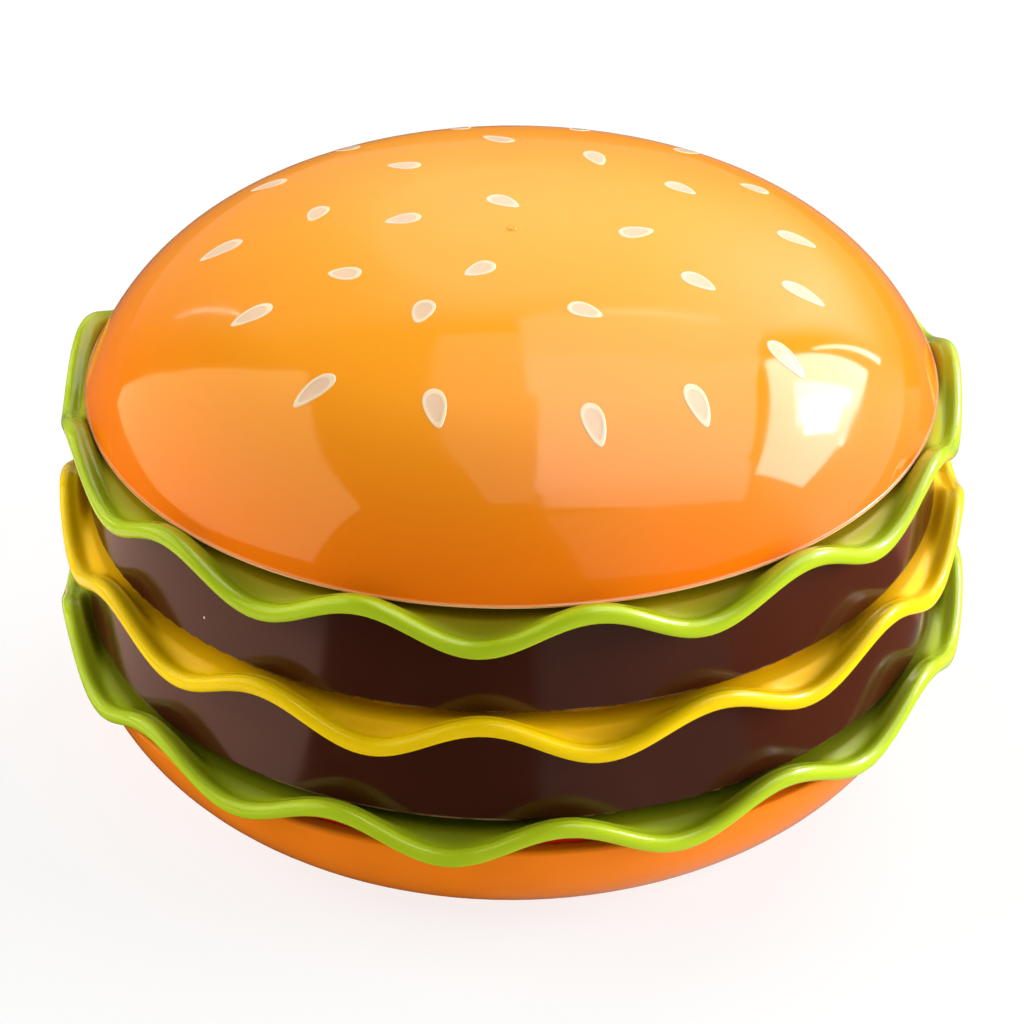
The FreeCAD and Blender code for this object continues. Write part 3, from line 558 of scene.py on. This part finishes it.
def dome_section():
    """The shell's section: crown, shoulder, rounded rim, then the inner side back up to the axis."""
    (crown_centre, crown, joint), (shoulder_centre, shoulder, rim_angle) = dome_arcs()
    apex = math.pi / 2 - APEX_GAP
    trim = RIM_TRIM / shoulder
    outer = arc_points(crown_centre, crown, apex, joint, CROWN_STEPS)
    outer += arc_points(shoulder_centre, shoulder, joint, rim_angle + trim, SHOULDER_STEPS)[1:]
    flattened = []
    for radius, height in outer:
        drop = FLAT_DROP * (1 - smooth_step(radius, FLAT_INNER, FLAT_RADIUS))
        flattened.append((radius, height - drop))
    edge_centre = (BUN_RADIUS - RIM_ROUNDING, RIM_LEVEL + RIM_ROUNDING)
    rim = arc_points(edge_centre, RIM_ROUNDING, RIM_START, math.radians(-90), RIM_STEPS)
    rim.append((BUN_RADIUS - SHELL_WALL, RIM_LEVEL))
    inner = arc_points(shoulder_centre, shoulder - SHELL_WALL, rim_angle, joint, INNER_SHOULDER_STEPS)[1:]
    inner += arc_points(crown_centre, crown - SHELL_WALL, joint, apex, INNER_CROWN_STEPS)[1:]
    return flattened + rim + inner


def make_top_bun():
    bun = add_piece("top_bun_shell", *turned(dome_section(), BUN_COLUMNS), [bun_plastic()], "lid")
    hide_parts("top_bun")
    return bun


def wave_rise(turn, low_angle):
    """The lip's height over its middle level: full waves at the front and sides, low ones at the back."""
    phase = WAVE_COUNT * (turn - low_angle)
    span = 2 * math.pi / WAVE_COUNT
    crest = low_angle + (math.floor(phase / (2 * math.pi)) + 0.5) * span
    from_front = abs(math.atan2(math.sin(crest), math.cos(crest)))
    share = 1.0 if from_front < LOW_CREST_TURN else LOW_CREST_SHARE
    return WAVE_HEIGHT * (share * (1 - math.cos(phase)) - 1)


def eased(start, end, steps=6):
    """Points (radius, height) of an S-shaped run between two points, without the first."""
    points = []
    for step in range(1, steps + 1):
        share = step / steps
        rise = (end[1] - start[1]) * smooth_step(share, 0.0, 1.0)
        points.append((start[0] + (end[0] - start[0]) * share, start[1] + rise))
    return points


def flange_section(lip_radius, floor_level, lip_drop, rise):
    """The flange's section where its lip has a rise: floor, gutter, dish, rolled lip and underside."""
    middle = floor_level - lip_drop + rise
    round_radius = LIP_WIDTH / 2
    straight = LIP_HEIGHT / 2 - round_radius
    centre = lip_radius - round_radius
    lip_top = middle + LIP_HEIGHT / 2
    lowness = 0.5 - 0.5 * rise / WAVE_HEIGHT
    gutter = floor_level - GUTTER_HIGH - (GUTTER_LOW - GUTTER_HIGH) * lowness
    inner = lip_radius - GUTTER_INNER
    outer = lip_radius - GUTTER_OUTER
    dish = (lip_radius - DISH_INSET, lip_top - DISH_DEPTH)
    section = [(FLANGE_HOLE, floor_level), (inner, floor_level), (inner, gutter), (outer, gutter)]
    section += eased((outer, gutter), dish)
    section += eased(dish, (centre, lip_top))[:-1]
    section += arc_points((centre, middle + straight), round_radius, math.radians(90), 0.0, LIP_TOP_STEPS)
    section += arc_points((centre, middle - straight), round_radius, 0.0, LIP_END_ANGLE, LIP_FOOT_STEPS)
    underside = floor_level - FLANGE_THICKNESS
    section += [(outer, underside), (inner, underside), (FLANGE_HOLE, underside)]
    return section


def make_flange(name, node, body, slot, colours, floor_level, lip_drop, low_angle):
    """A wavy flange. Its colours are the lip's colour and the gutter's painted shade, with the strength of
    the lip's shine.
    """
    columns = WAVE_COUNT * COLUMNS_PER_WAVE
    lip_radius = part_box(node)[1].x
    sections = []
    for turn in turns_round(columns):
        rise = wave_rise(turn, low_angle)
        sections.append((turn, flange_section(lip_radius, floor_level, lip_drop, rise)))
    count = len(sections[0][1])
    points = []
    for index in range(count):
        for turn, section in sections:
            radius, height = section[index]
            points.append(ring_point(radius, turn, height))
    *colour_and_shade, shine = colours
    lip = flange_plastic(name + "_lip_plastic", *colour_and_shade, lip_radius, LIP_ROUGHNESS, shine)
    dish = flange_plastic(name + "_dish_plastic", *colour_and_shade, lip_radius, DISH_ROUGHNESS, DISH_SHINE)
    piece = add_piece(name, points, ring_faces(count, columns, True), [lip, dish], body)
    for polygon in piece.data.polygons:
        polygon.material_index = int(min(polygon.vertices) // columns < DISH_ROWS)
    sharpen(piece)
    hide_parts(node)
    return piece


def cut_box(piece, low, high):
    """Cuts a box out of a piece."""
    corners = [(x, y, z) for x in (low[0], high[0]) for y in (low[1], high[1]) for z in (low[2], high[2])]
    sides = [(0, 1, 3, 2), (4, 6, 7, 5), (0, 4, 5, 1), (2, 3, 7, 6), (0, 2, 6, 4), (1, 5, 7, 3)]
    mesh = bpy.data.meshes.new("cutter")
    mesh.from_pydata(corners, [], sides)
    cutter = bpy.data.objects.new("cutter", mesh)
    scene.collection.objects.link(cutter)
    cut = piece.modifiers.new("cut", "BOOLEAN")
    cut.object = cutter
    cut.solver = "EXACT"
    result = bpy.data.meshes.new_from_object(piece.evaluated_get(bpy.context.evaluated_depsgraph_get()))
    piece.modifiers.clear()
    piece.data = result
    bpy.data.objects.remove(cutter)
    sharpen(piece)


def sharpen(piece):
    """Smooth faces, with sharp edges kept where the surface turns a corner."""
    piece.data.shade_smooth()
    piece.data.set_sharp_from_angle(angle=SHARP_TURN)


def make_flanges():
    upper = RIM_LEVEL
    cheese = upper - LAYER_PITCH
    lower = cheese - LAYER_PITCH
    # Each flange's lip colour, its gutter's painted shade and its shine
    make_flange("upper_lettuce_leaf", "upper_lettuce", "lid", "lettuce_green",
                (LIME, OLIVE_GUTTER_SHADE, LETTUCE_SHINE), upper, *UPPER_LIP)
    slice_piece = make_flange("cheese_leaf", "cheese_slice", "base", "cheese_yellow",
                              (YELLOW, AMBER_GUTTER_SHADE, CHEESE_SHINE), cheese, *CHEESE_LIP)
    reach = LAYER_PITCH / 2
    cut_box(slice_piece, (-NOTCH_HALF, NOTCH_Y, cheese - reach), (NOTCH_HALF, 2 * NOTCH_Y, cheese + reach))
    make_flange("lower_lettuce_leaf", "lower_lettuce", "base", "lettuce_green",
                (LIME, MOSS_GUTTER_SHADE, LETTUCE_SHINE), lower, *LOWER_LIP)


# Sesame seeds, printed on the bun

SEED_WIDTH = 3.05 * MM
SEED_BORDER = 0.74
# The blunt end and the tip of each seed, as pixels of the photograph
SEED_PIXELS = (
    ((512, 142), (484, 136)), ((420, 166), (388, 165)), ((287, 180), (251, 191)), ((323, 206), (311, 221)),
    ((489, 196), (518, 207)), ((421, 216), (385, 222)), ((242, 240), (200, 261)), ((361, 274), (328, 273)),
    ((494, 263), (465, 275)), ((272, 305), (231, 326)), ((428, 300), (417, 323)), ((334, 375), (294, 407)),
    ((432, 389), (439, 428)), ((590, 151), (601, 165)), ((666, 182), (695, 194)), ((769, 193), (740, 184)),
    ((619, 234), (653, 230)), ((777, 232), (816, 247)), ((682, 273), (715, 290)), ((782, 282), (824, 306)),
    ((568, 305), (602, 316)), ((769, 341), (804, 378)), ((588, 403), (601, 447)), ((689, 384), (707, 427)),
)
# Turn round the bun, in degrees from the front, of the seeds on the side out of view
BACK_SEEDS = (143, 166, 190, 214)
BACK_SEED_RADIUS = 43.5 * MM
BACK_SEED_LENGTH = 6.2 * MM


def drop_on(bun, point, normal):
    """The place on the bun's outside under a point, looking against a normal."""
    reach = 8 * MM
    _, place, facing, _ = bun.ray_cast(point + normal * reach, -normal)
    return place, facing


def seed_ends(bun):
    """The blunt end, tip and normal of each seed, on the bun."""
    eye = view_place()
    ends = []
    for blunt, tip in SEED_PIXELS:
        places = [bun.ray_cast(eye, pixel_ray(*pixel))[1] for pixel in (blunt, tip)]
        middle = [(a + b) / 2 for a, b in zip(blunt, tip)]
        ends.append((places[0], places[1], bun.ray_cast(eye, pixel_ray(*middle))[2]))
    for degrees in BACK_SEEDS:
        turn = math.radians(degrees)
        outward = Vector((math.sin(turn), -math.cos(turn), 0))
        above = outward * BACK_SEED_RADIUS + UP * BUN_TOP
        place, normal = drop_on(bun, above, UP)
        slope = (outward - normal * outward.dot(normal)).normalized() * (BACK_SEED_LENGTH / 2)
        ends.append((place - slope, place + slope, normal))
    return ends


def teardrop(share):
    """A seed's outline as (along, across), each from -1 to 1, blunt at -1."""
    turn = 2 * math.pi * share
    bluntness = 0.52
    widest = 0.79
    taper = bluntness + (1 - bluntness) * math.sin(turn / 2) ** 2
    return math.cos(turn), math.sin(turn) * taper / widest


def make_seeds(bun):
    """Each seed is a thin raised print: a paler border round a flat middle."""
    columns = 40
    rise = PRINT_THICKNESS
    border_rise = 1.3 * rise
    # Scale of the outline and lift off the bun, from a seed's sunk edge to its middle
    border_rings = ((1.03, -1.5 * rise), (1.0, rise), (0.93, border_rise))
    middle_rings = ((SEED_BORDER, border_rise), (0.7, rise), (0.35, rise))
    rings = border_rings + middle_rings
    points = []
    faces = []
    fills = []
    for blunt, tip, normal in seed_ends(bun):
        centre = (blunt + tip) / 2
        along = (tip - blunt) / 2
        across = normal.cross(along).normalized() * (SEED_WIDTH / 2)
        start = len(points)
        for scale, lift in rings:
            for column in range(columns):
                x, y = teardrop(column / columns)
                place, facing = drop_on(bun, centre + along * (x * scale) + across * (y * scale), normal)
                points.append(place + facing * lift)
        for face in ring_faces(len(rings), columns, False):
            fills.append(face[0] >= len(border_rings) * columns)
            faces.append(tuple(start + index for index in reversed(face)))
        inner = start + (len(rings) - 1) * columns
        faces.append(tuple(range(inner, inner + columns)))
        fills.append(True)
        faces.append(tuple(reversed(range(start, start + columns))))
        fills.append(False)
    border = moulded_plastic("seed_border_ink", SEED_EDGE, INK_ROUGHNESS, INK_WAVES)
    middle = moulded_plastic("seed_ink", SEED_FILL, INK_ROUGHNESS, INK_WAVES)
    seeds = add_piece("sesame_seed_print", points, faces, [border, middle], "lid")
    for polygon, fill in zip(seeds.data.polygons, fills):
        polygon.material_index = int(fill)


GATE_PIXEL = (512, 228)
GATE_RADIUS = 0.8 * MM
GATE_RISE = 0.14 * MM


def make_gate_mark(bun):
    """The small pip that moulding leaves near the bun's apex."""
    _, place, normal, _ = bun.ray_cast(view_place(), pixel_ray(*GATE_PIXEL))
    section = [
        (0.05 * GATE_RADIUS, 0.4 * GATE_RISE),
        (0.35 * GATE_RADIUS, 0.5 * GATE_RISE),
        (0.65 * GATE_RADIUS, GATE_RISE),
        (0.85 * GATE_RADIUS, 0.7 * GATE_RISE),
        (GATE_RADIUS, -GATE_RISE),
        (0.05 * GATE_RADIUS, -GATE_RISE),
    ]
    points, faces = turned(section, 32)
    turn = UP.rotation_difference(normal).to_matrix()
    points = [turn @ Vector(point) + place for point in points]
    pip = add_piece("gate_mark", points, faces, [bun.data.materials[0]], "lid")


# Legends on the keys

LEGENDS = {
    "key_1": ("1", ""), "key_2": ("2", "ABC"), "key_3": ("3", "DEF"),
    "key_4": ("4", "GHI"), "key_5": ("5", "JKL"), "key_6": ("6", "MNO"),
    "key_7": ("7", "PQRS"), "key_8": ("8", "TUV"), "key_9": ("9", "WXYZ"),
    "key_star": ("*", ""), "key_0": ("0", "OPER"), "key_hash": ("#", ""),
    "key_redial": ("", "REDIAL"), "key_flash": ("", "FLASH"),
}
DIGIT_HEIGHT = 4.2 * MM
DIGIT_LIFT = 0.9 * MM
LETTER_HEIGHT = 1.7 * MM
LETTER_DROP = 2.2 * MM


def letters(name, words, height, place, material, body):
    """A thin raised print of some words, centred on a place in a key's dish."""
    data = bpy.data.curves.new(name, "FONT")
    data.body = words
    data.size = height
    data.align_x = "CENTER"
    data.align_y = "CENTER"
    data.extrude = PRINT_THICKNESS
    source = bpy.data.objects.new(name + "_text", data)
    scene.collection.objects.link(source)
    bpy.context.view_layer.update()
    mesh = bpy.data.meshes.new_from_object(source)
    bpy.data.objects.remove(source)
    low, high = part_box(body)
    middle = (low + high) / 2
    bottom = high.z - KEY_DISH
    for vertex in mesh.vertices:
        offset = vertex.co.xy + place
        rise = offset.length_squared / (2 * KEY_DISH_RADIUS)
        vertex.co = (middle.x + offset.x, middle.y + offset.y, bottom + rise + vertex.co.z)
    mesh.materials.clear()
    mesh.materials.append(material)
    piece = bpy.data.objects.new(name, mesh)
    scene.collection.objects.link(piece)
    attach(piece, body)


def make_legends():
    ink = satin_plastic("legend_ink", tint(BROWN, 0.2), 0.35)
    for key, (digit, words) in LEGENDS.items():
        if digit:
            lift = DIGIT_LIFT if words else 0.0
            letters(key + "_digit", digit, DIGIT_HEIGHT, Vector((0, lift)), ink, key)
        if words:
            lift = -LETTER_DROP if digit else 0.0
            letters(key + "_letters", words, LETTER_HEIGHT, Vector((0, lift)), ink, key)


# Screw heads and the contacts of the line socket

# The head, shank and point of a screw are given by their radii
SCREW_HEAD = 2.9 * MM
SCREW_SHANK = 1.5 * MM
SCREW_POINT = 0.1 * SCREW_SHANK
SCREW_COLUMNS = 48
HEAD_HEIGHT = SCREW_HEAD * 2 / 3
HEAD_DOME = SCREW_HEAD * 0.55
HEAD_STEPS = 8
CROSS_LENGTH = 3.2 * MM
CROSS_WIDTH = 0.75 * MM
CROSS_DEPTH = 0.9 * MM


def screw_piece(node, body):
    """Pan-head screws with a cross recess, in the places of a node's own screws."""
    low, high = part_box(node)
    steel = MATERIALS["screw_steel"]
    head_top = low.z + HEAD_HEIGHT
    section = [(SCREW_POINT, high.z), (SCREW_SHANK, high.z - SCREW_SHANK)]
    section += [(SCREW_SHANK, head_top), (SCREW_HEAD, head_top)]
    dome_centre = (SCREW_HEAD - HEAD_DOME, low.z + HEAD_DOME)
    section += arc_points(dome_centre, HEAD_DOME, 0.0, math.radians(-90), HEAD_STEPS)
    section.append((SCREW_POINT, low.z))
    screw = add_piece(node + "_cross_head", *turned(section, SCREW_COLUMNS), [steel], body)
    for x, y in ((CROSS_LENGTH, CROSS_WIDTH), (CROSS_WIDTH, CROSS_LENGTH)):
        cut_box(screw, (-x / 2, -y / 2, low.z - CROSS_DEPTH), (x / 2, y / 2, low.z + CROSS_DEPTH))
    points = []
    faces = []
    for x in (low.x + SCREW_HEAD, high.x - SCREW_HEAD):
        for y in (low.y + SCREW_HEAD, high.y - SCREW_HEAD):
            start = len(points)
            points += [vertex.co + Vector((x, y, 0)) for vertex in screw.data.vertices]
            faces += [tuple(start + index for index in polygon.vertices) for polygon in screw.data.polygons]
    bpy.data.objects.remove(screw)
    screws = add_piece(node + "_heads", points, faces, [steel], body)
    sharpen(screws)
    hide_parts(node)


CONTACT_PITCH = 1.27 * MM
CONTACT_RADIUS = 0.22 * MM
# Where each contact lies across the socket, in pitches from its middle
CONTACT_PLACES = (-1.5, -0.5, 0.5, 1.5)
ROOF_DROP = 2.6 * MM


def make_contacts():
    """Four sprung wires that slope down and inwards from the roof of the line socket."""
    low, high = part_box("line_jack")
    roof = high.z - ROOF_DROP
    path = [
        (high.y - 0.8 * MM, roof),
        (high.y - 1.6 * MM, roof - 0.2 * MM),
        (low.y + 4.5 * MM, roof - 3.4 * MM),
        (low.y + 3.4 * MM, roof - 3.6 * MM),
    ]
    gold = plated_metal("contact_gold", GOLD, roughness=0.2)
    columns = 12
    points = []
    faces = []
    for place in CONTACT_PLACES:
        start = len(points)
        for y, z in path:
            for turn in turns_round(columns):
                x = place * CONTACT_PITCH + CONTACT_RADIUS * math.cos(turn)
                points.append((x, y, z + CONTACT_RADIUS * math.sin(turn)))
        faces += [tuple(start + index for index in face) for face in ring_faces(len(path), columns, False)]
        last = start + (len(path) - 1) * columns
        faces.append(tuple(range(start, start + columns)))
        faces.append(tuple(reversed(range(last, last + columns))))
    add_piece("line_jack_contacts", points, faces, [gold], "base")


# Stage and light

def emission_card(name, corners, strength, in_gloss, colour):
    """A card that either shows in the object's gloss or lights it, and that the camera doesn't see."""
    mesh = bpy.data.meshes.new(name)
    mesh.from_pydata(corners, [], [tuple(range(len(corners)))])
    material = bpy.data.materials.new(name)
    material.use_nodes = True
    graph = Graph(material.node_tree)
    graph.tree.nodes.clear()
    glow = graph.node("ShaderNodeEmission")
    glow.inputs["Color"].default_value = rgba(colour)
    glow.inputs["Strength"].default_value = strength
    graph.plug(glow.outputs["Emission"], graph.node("ShaderNodeOutputMaterial").inputs["Surface"])
    mesh.materials.append(material)
    card = bpy.data.objects.new(name, mesh)
    card.visible_camera = False
    card.visible_shadow = False
    card.visible_diffuse = not in_gloss
    card.visible_glossy = in_gloss
    scene.collection.objects.link(card)


def reflected_corner(bun, pixel, distance):
    """Where a card's corner stands so that its image on the bun is at a pixel of the photograph."""
    eye = view_place()
    ray = pixel_ray(*pixel)
    _, place, normal, _ = bun.ray_cast(eye, ray)
    return place + ray.reflect(normal) * distance


CARD_DISTANCE = 1.2
# Corners of each card's image on the bun, as pixels of the photograph, its strength and its nearness
GLOSS_CARDS = {
    "left_streak": (((176, 316), (242, 312), (242, 316), (176, 320)), 9.0, 0.9),
    "ceiling_left": (((440, 335), (530, 335), (535, 505), (485, 505), (445, 450)), 1.0, 1.1),
    "lower_wall": (((545, 515), (745, 495), (790, 535), (700, 570), (590, 580)), 0.7, 1.0),
    "rail": (((600, 311), (660, 312), (722, 320), (722, 323), (660, 315), (600, 314)), 4.0, 0.95),
    "window": (((765, 360), (866, 372), (802, 487), (757, 472), (771, 399)), 12.0, 0.95),
    "window_core": (((794, 384), (852, 388), (840, 446), (795, 442)), 22.0, 0.9),
    "window_centre": (((804, 398), (840, 400), (834, 432), (806, 432)), 50.0, 0.8),
    "right_streak": (((812, 348), (880, 360), (880, 363), (812, 351)), 12.0, 0.9),
}
# Corners of the left wall card's image on the bun, as pixels of the photograph
LEFT_WALL = (
    (118, 405), (122, 388), (140, 378), (175, 373), (215, 371), (262, 370), (308, 371), (311, 395),
    (316, 420), (327, 462), (358, 506), (326, 536), (314, 562), (262, 548), (205, 525), (160, 492),
    (132, 450),
)
LEFT_WALL_STRENGTH = 2.4
WARM_WALL = (1.0, 0.92, 0.5)
# The ceiling cards' image on the bun, as pixels of the photograph: its left and right edge
# at the top and at the foot, then its strength by row
CEILING_TOP = (519, 764)
CEILING_FOOT = (540, 745)
CEILING_ROWS = ((318, 2.0), (354, 2.3), (358, 3.0), (400, 3.5), (440, 4.2), (475, 3.9), (508, 2.6))
CEILING_STEPS = 4
# Flags lie round the object on the floor and show in its walls and edges
NEAR = (50 * MM, 88 * MM)
MIDDLE = (88 * MM, 170 * MM)
FAR = (170 * MM, 400 * MM)
BEYOND = (400 * MM, 11.0)
FLAG_LEVEL = 0.3 * MM
WHITE = (1.0, 1.0, 1.0)
PINK_TABLE = (1.0, 0.65, 0.52)
RED_TABLE = (1.0, 0.34, 0.24)
# Nearest and furthest reach, first and last turn in degrees, strength and colour
FLAGS = {
    "near_left": (NEAR, -180.0, -8.0, 0.02, WHITE),
    "near_right": (NEAR, 28.0, 100.0, 0.34, WHITE),
    "middle_left": (MIDDLE, -125.0, -40.0, 1.0, PINK_TABLE),
    "middle_right": (MIDDLE, 46.0, 97.0, 0.3, RED_TABLE),
    "middle_back": (MIDDLE, 97.0, 120.0, 0.9, RED_TABLE),
    "far_left": (FAR, -125.0, -40.0, 0.1, WHITE),
    "far_right": (FAR, 46.0, 120.0, 0.5, WHITE),
    "front": ((MIDDLE[0], FAR[1]), -40.0, 5.0, 0.02, WHITE),
    "front_right": ((MIDDLE[0], FAR[1]), 5.0, 46.0, 0.2, WHITE),
    "back_left": ((MIDDLE[0], FAR[1]), -180.0, -125.0, 0.12, WHITE),
    "back_right": ((MIDDLE[0], FAR[1]), 120.0, 180.0, 0.2, WHITE),
    "beyond_left": (BEYOND, -180.0, -75.0, 0.1, WHITE),
    "beyond_front": (BEYOND, -75.0, 40.0, 0.1, WHITE),
    "beyond_right": (BEYOND, 40.0, 130.0, 0.5, WHITE),
    "beyond_back": (BEYOND, 130.0, 180.0, 0.1, WHITE),
}
GRADED_STEPS = 18
# Where each soft light stands, its width and its strength
SOFT_LIGHTS = {
    "key": (Vector((1.0, -0.08, 0.28)), 0.7, 11.0),
    "back": (Vector((0.6, 0.85, 0.6)), 0.7, 7.0),
    "fill": (Vector((-0.95, 0.1, 0.45)), 0.7, 5.6),
}
FLOOR_GLOW = 0.8
FLOOR_HALF = 12.0
FLOOR_PAINT = (0.9, 0.9, 0.9)
# The studio's light along one axis: where it starts and stops changing, then its two strengths
AMBIENT = (-0.7, 0.7, 0.22, 0.75)
HIGH_SKY = (0.05, 0.55, 0.0, 1.0)
MIDDLE_SKY = (-0.25, -0.05, 0.0, 0.9)
RIGHT_SKY = (0.15, 0.5, 0.0, 1.9)
LOW_SKY = (-0.75, -0.45, 0.04, 0.32)
BACK_SKY = (0.62, 0.72, 0.0, 1.0)
WALL_SIDE = (0.6, 0.9, 0.0, 1.6)
WALL_FRONT = (-0.4, -0.1, 0.0, 1.0)


def graded_flags():
    """Narrow near flags, in front from dark to bright and at the back from bright to dark."""
    _, left_end, left_start, dark, _ = FLAGS["near_left"]
    _, right_start, right_end, bright, _ = FLAGS["near_right"]
    runs = ((left_start, right_start, dark, bright), (right_end, left_end + 360.0, bright, dark))
    flags = {}
    for first, last, start, end in runs:
        width = (last - first) / GRADED_STEPS
        for step in range(GRADED_STEPS):
            turn = first + width * step
            strength = start + (end - start) * (step + 0.5) / GRADED_STEPS
            flags[f"graded_{turn:.0f}"] = (NEAR, turn, turn + width, strength, WHITE)
    return flags


def square_towards(place, width):
    """Corners of a square that stands at a place and faces the object."""
    side = place.cross(UP).normalized() * (width / 2)
    rise = side.cross(place).normalized() * (width / 2)
    return [place - side - rise, place + side - rise, place + side + rise, place - side + rise]


def ring_sector(reach, first, last, steps=24):
    """Corners of a flat sector of a ring on the floor, round the object."""
    points = []
    for radius, turns in ((reach[0], (first, last)), (reach[1], (last, first))):
        for step in range(steps + 1):
            turn = math.radians(turns[0] + (turns[1] - turns[0]) * step / steps)
            points.append(ring_point(radius, turn, FLAG_LEVEL))
    return points


def ceiling_strips():
    """Corner pixels, on the bun, and strength of each ceiling card's image."""
    top = CEILING_ROWS[0][0]
    height = CEILING_ROWS[-1][0] - top
    strips = []
    for (high, first), (low, last) in zip(CEILING_ROWS, CEILING_ROWS[1:]):
        for step in range(CEILING_STEPS):
            rows = [high + (low - high) * (step + side) / CEILING_STEPS for side in (0, 1)]
            ends = []
            for row in rows:
                share = (row - top) / height
                ends.append([(a + (b - a) * share, row) for a, b in zip(CEILING_TOP, CEILING_FOOT)])
            strength = first + (last - first) * (step + 0.5) / CEILING_STEPS
            strips.append(((ends[0][0], ends[0][1], ends[1][1], ends[1][0]), strength))
    return strips


def card_corners(bun, pixels, nearness=1.0):
    return [reflected_corner(bun, pixel, CARD_DISTANCE * nearness) for pixel in pixels]


def make_cards(bun):
    for name, (pixels, strength, nearness) in GLOSS_CARDS.items():
        emission_card(name + "_card", card_corners(bun, pixels, nearness), strength, True, WHITE)
    emission_card("left_wall_card", card_corners(bun, LEFT_WALL), LEFT_WALL_STRENGTH, True, WARM_WALL)
    for index, (pixels, strength) in enumerate(ceiling_strips()):
        emission_card(f"ceiling_card_{index}", card_corners(bun, pixels), strength, True, WHITE)
    for name, (reach, first, last, strength, colour) in {**FLAGS, **graded_flags()}.items():
        emission_card(name + "_flag", ring_sector(reach, first, last), strength, True, colour)
    for name, (place, width, strength) in SOFT_LIGHTS.items():
        emission_card(name + "_light", square_towards(place, width), strength, False, WHITE)


def make_world():
    """Soft light, brighter from behind. In the gloss: dark in front, bright behind and on the right."""
    world = bpy.data.worlds.new("studio")
    world.use_nodes = True
    graph = Graph(world.node_tree)
    place = graph.node("ShaderNodeTexCoord").outputs["Generated"]
    x, y, z = (graph.axis(place, name) for name in "XYZ")
    lit_side = graph.math("ADD", graph.remap(x, *MIDDLE_SKY), graph.remap(x, *RIGHT_SKY))
    high_sky = graph.math("MULTIPLY", graph.remap(z, *HIGH_SKY), lit_side)
    sky = graph.math("ADD", high_sky, graph.remap(x, *LOW_SKY))
    back = graph.math("MULTIPLY", sky, graph.remap(y, *BACK_SKY))
    right_wall = graph.math("MULTIPLY", graph.remap(x, *WALL_SIDE), graph.remap(y, *WALL_FRONT))
    gloss = graph.math("MAXIMUM", back, right_wall)
    path = graph.node("ShaderNodeLightPath").outputs
    ambient = graph.remap(y, *AMBIENT)
    shade = graph.mix(path["Is Glossy Ray"], ambient, gloss)
    seen = graph.math("MAXIMUM", path["Is Camera Ray"], path["Is Transmission Ray"])
    shade = graph.mix(seen, shade, rgba(WHITE))
    graph.plug(shade, world.node_tree.nodes["Background"].inputs["Color"])
    scene.world = world


def make_floor():
    """A white floor that keeps a soft shadow and is clear from below."""
    half = FLOOR_HALF
    corners = [(-half, -half, 0), (half, -half, 0), (half, half, 0), (-half, half, 0)]
    mesh = bpy.data.meshes.new("floor")
    mesh.from_pydata(corners, [], [(0, 1, 2, 3)])
    material = bpy.data.materials.new("floor_white")
    material.use_nodes = True
    graph = Graph(material.node_tree)
    graph.tree.nodes.clear()
    paint = graph.node("ShaderNodeBsdfDiffuse")
    paint.inputs["Color"].default_value = rgba(FLOOR_PAINT)
    glow = graph.node("ShaderNodeEmission")
    blend = graph.node("ShaderNodeMixShader")
    blend.inputs["Fac"].default_value = FLOOR_GLOW
    graph.plug(paint.outputs["BSDF"], blend.inputs[1])
    graph.plug(glow.outputs["Emission"], blend.inputs[2])
    from_below = graph.node("ShaderNodeMixShader")
    graph.plug(graph.node("ShaderNodeNewGeometry").outputs["Backfacing"], from_below.inputs["Fac"])
    graph.plug(blend.outputs["Shader"], from_below.inputs[1])
    graph.plug(graph.node("ShaderNodeBsdfTransparent").outputs["BSDF"], from_below.inputs[2])
    graph.plug(from_below.outputs["Shader"], graph.node("ShaderNodeOutputMaterial").inputs["Surface"])
    mesh.materials.append(material)
    floor = bpy.data.objects.new("floor", mesh)
    scene.collection.objects.link(floor)


def paint_nodes():
    """Gives every solid part its finish."""
    for part in frame["record"]["subparts"]:
        mesh = nodes[part["node"]].data
        mesh.materials.clear()
        mesh.materials.append(MATERIALS[part["material_slot"]])


make_camera()
paint_nodes()
top_bun = make_top_bun()
make_flanges()
bpy.context.view_layer.update()
make_seeds(top_bun)
make_gate_mark(top_bun)
make_legends()
screw_piece("lid_screws", "lid")
screw_piece("base_screws", "base")
make_contacts()
make_cards(top_bun)
make_world()
make_floor()
scene.view_settings.view_transform = "Standard"
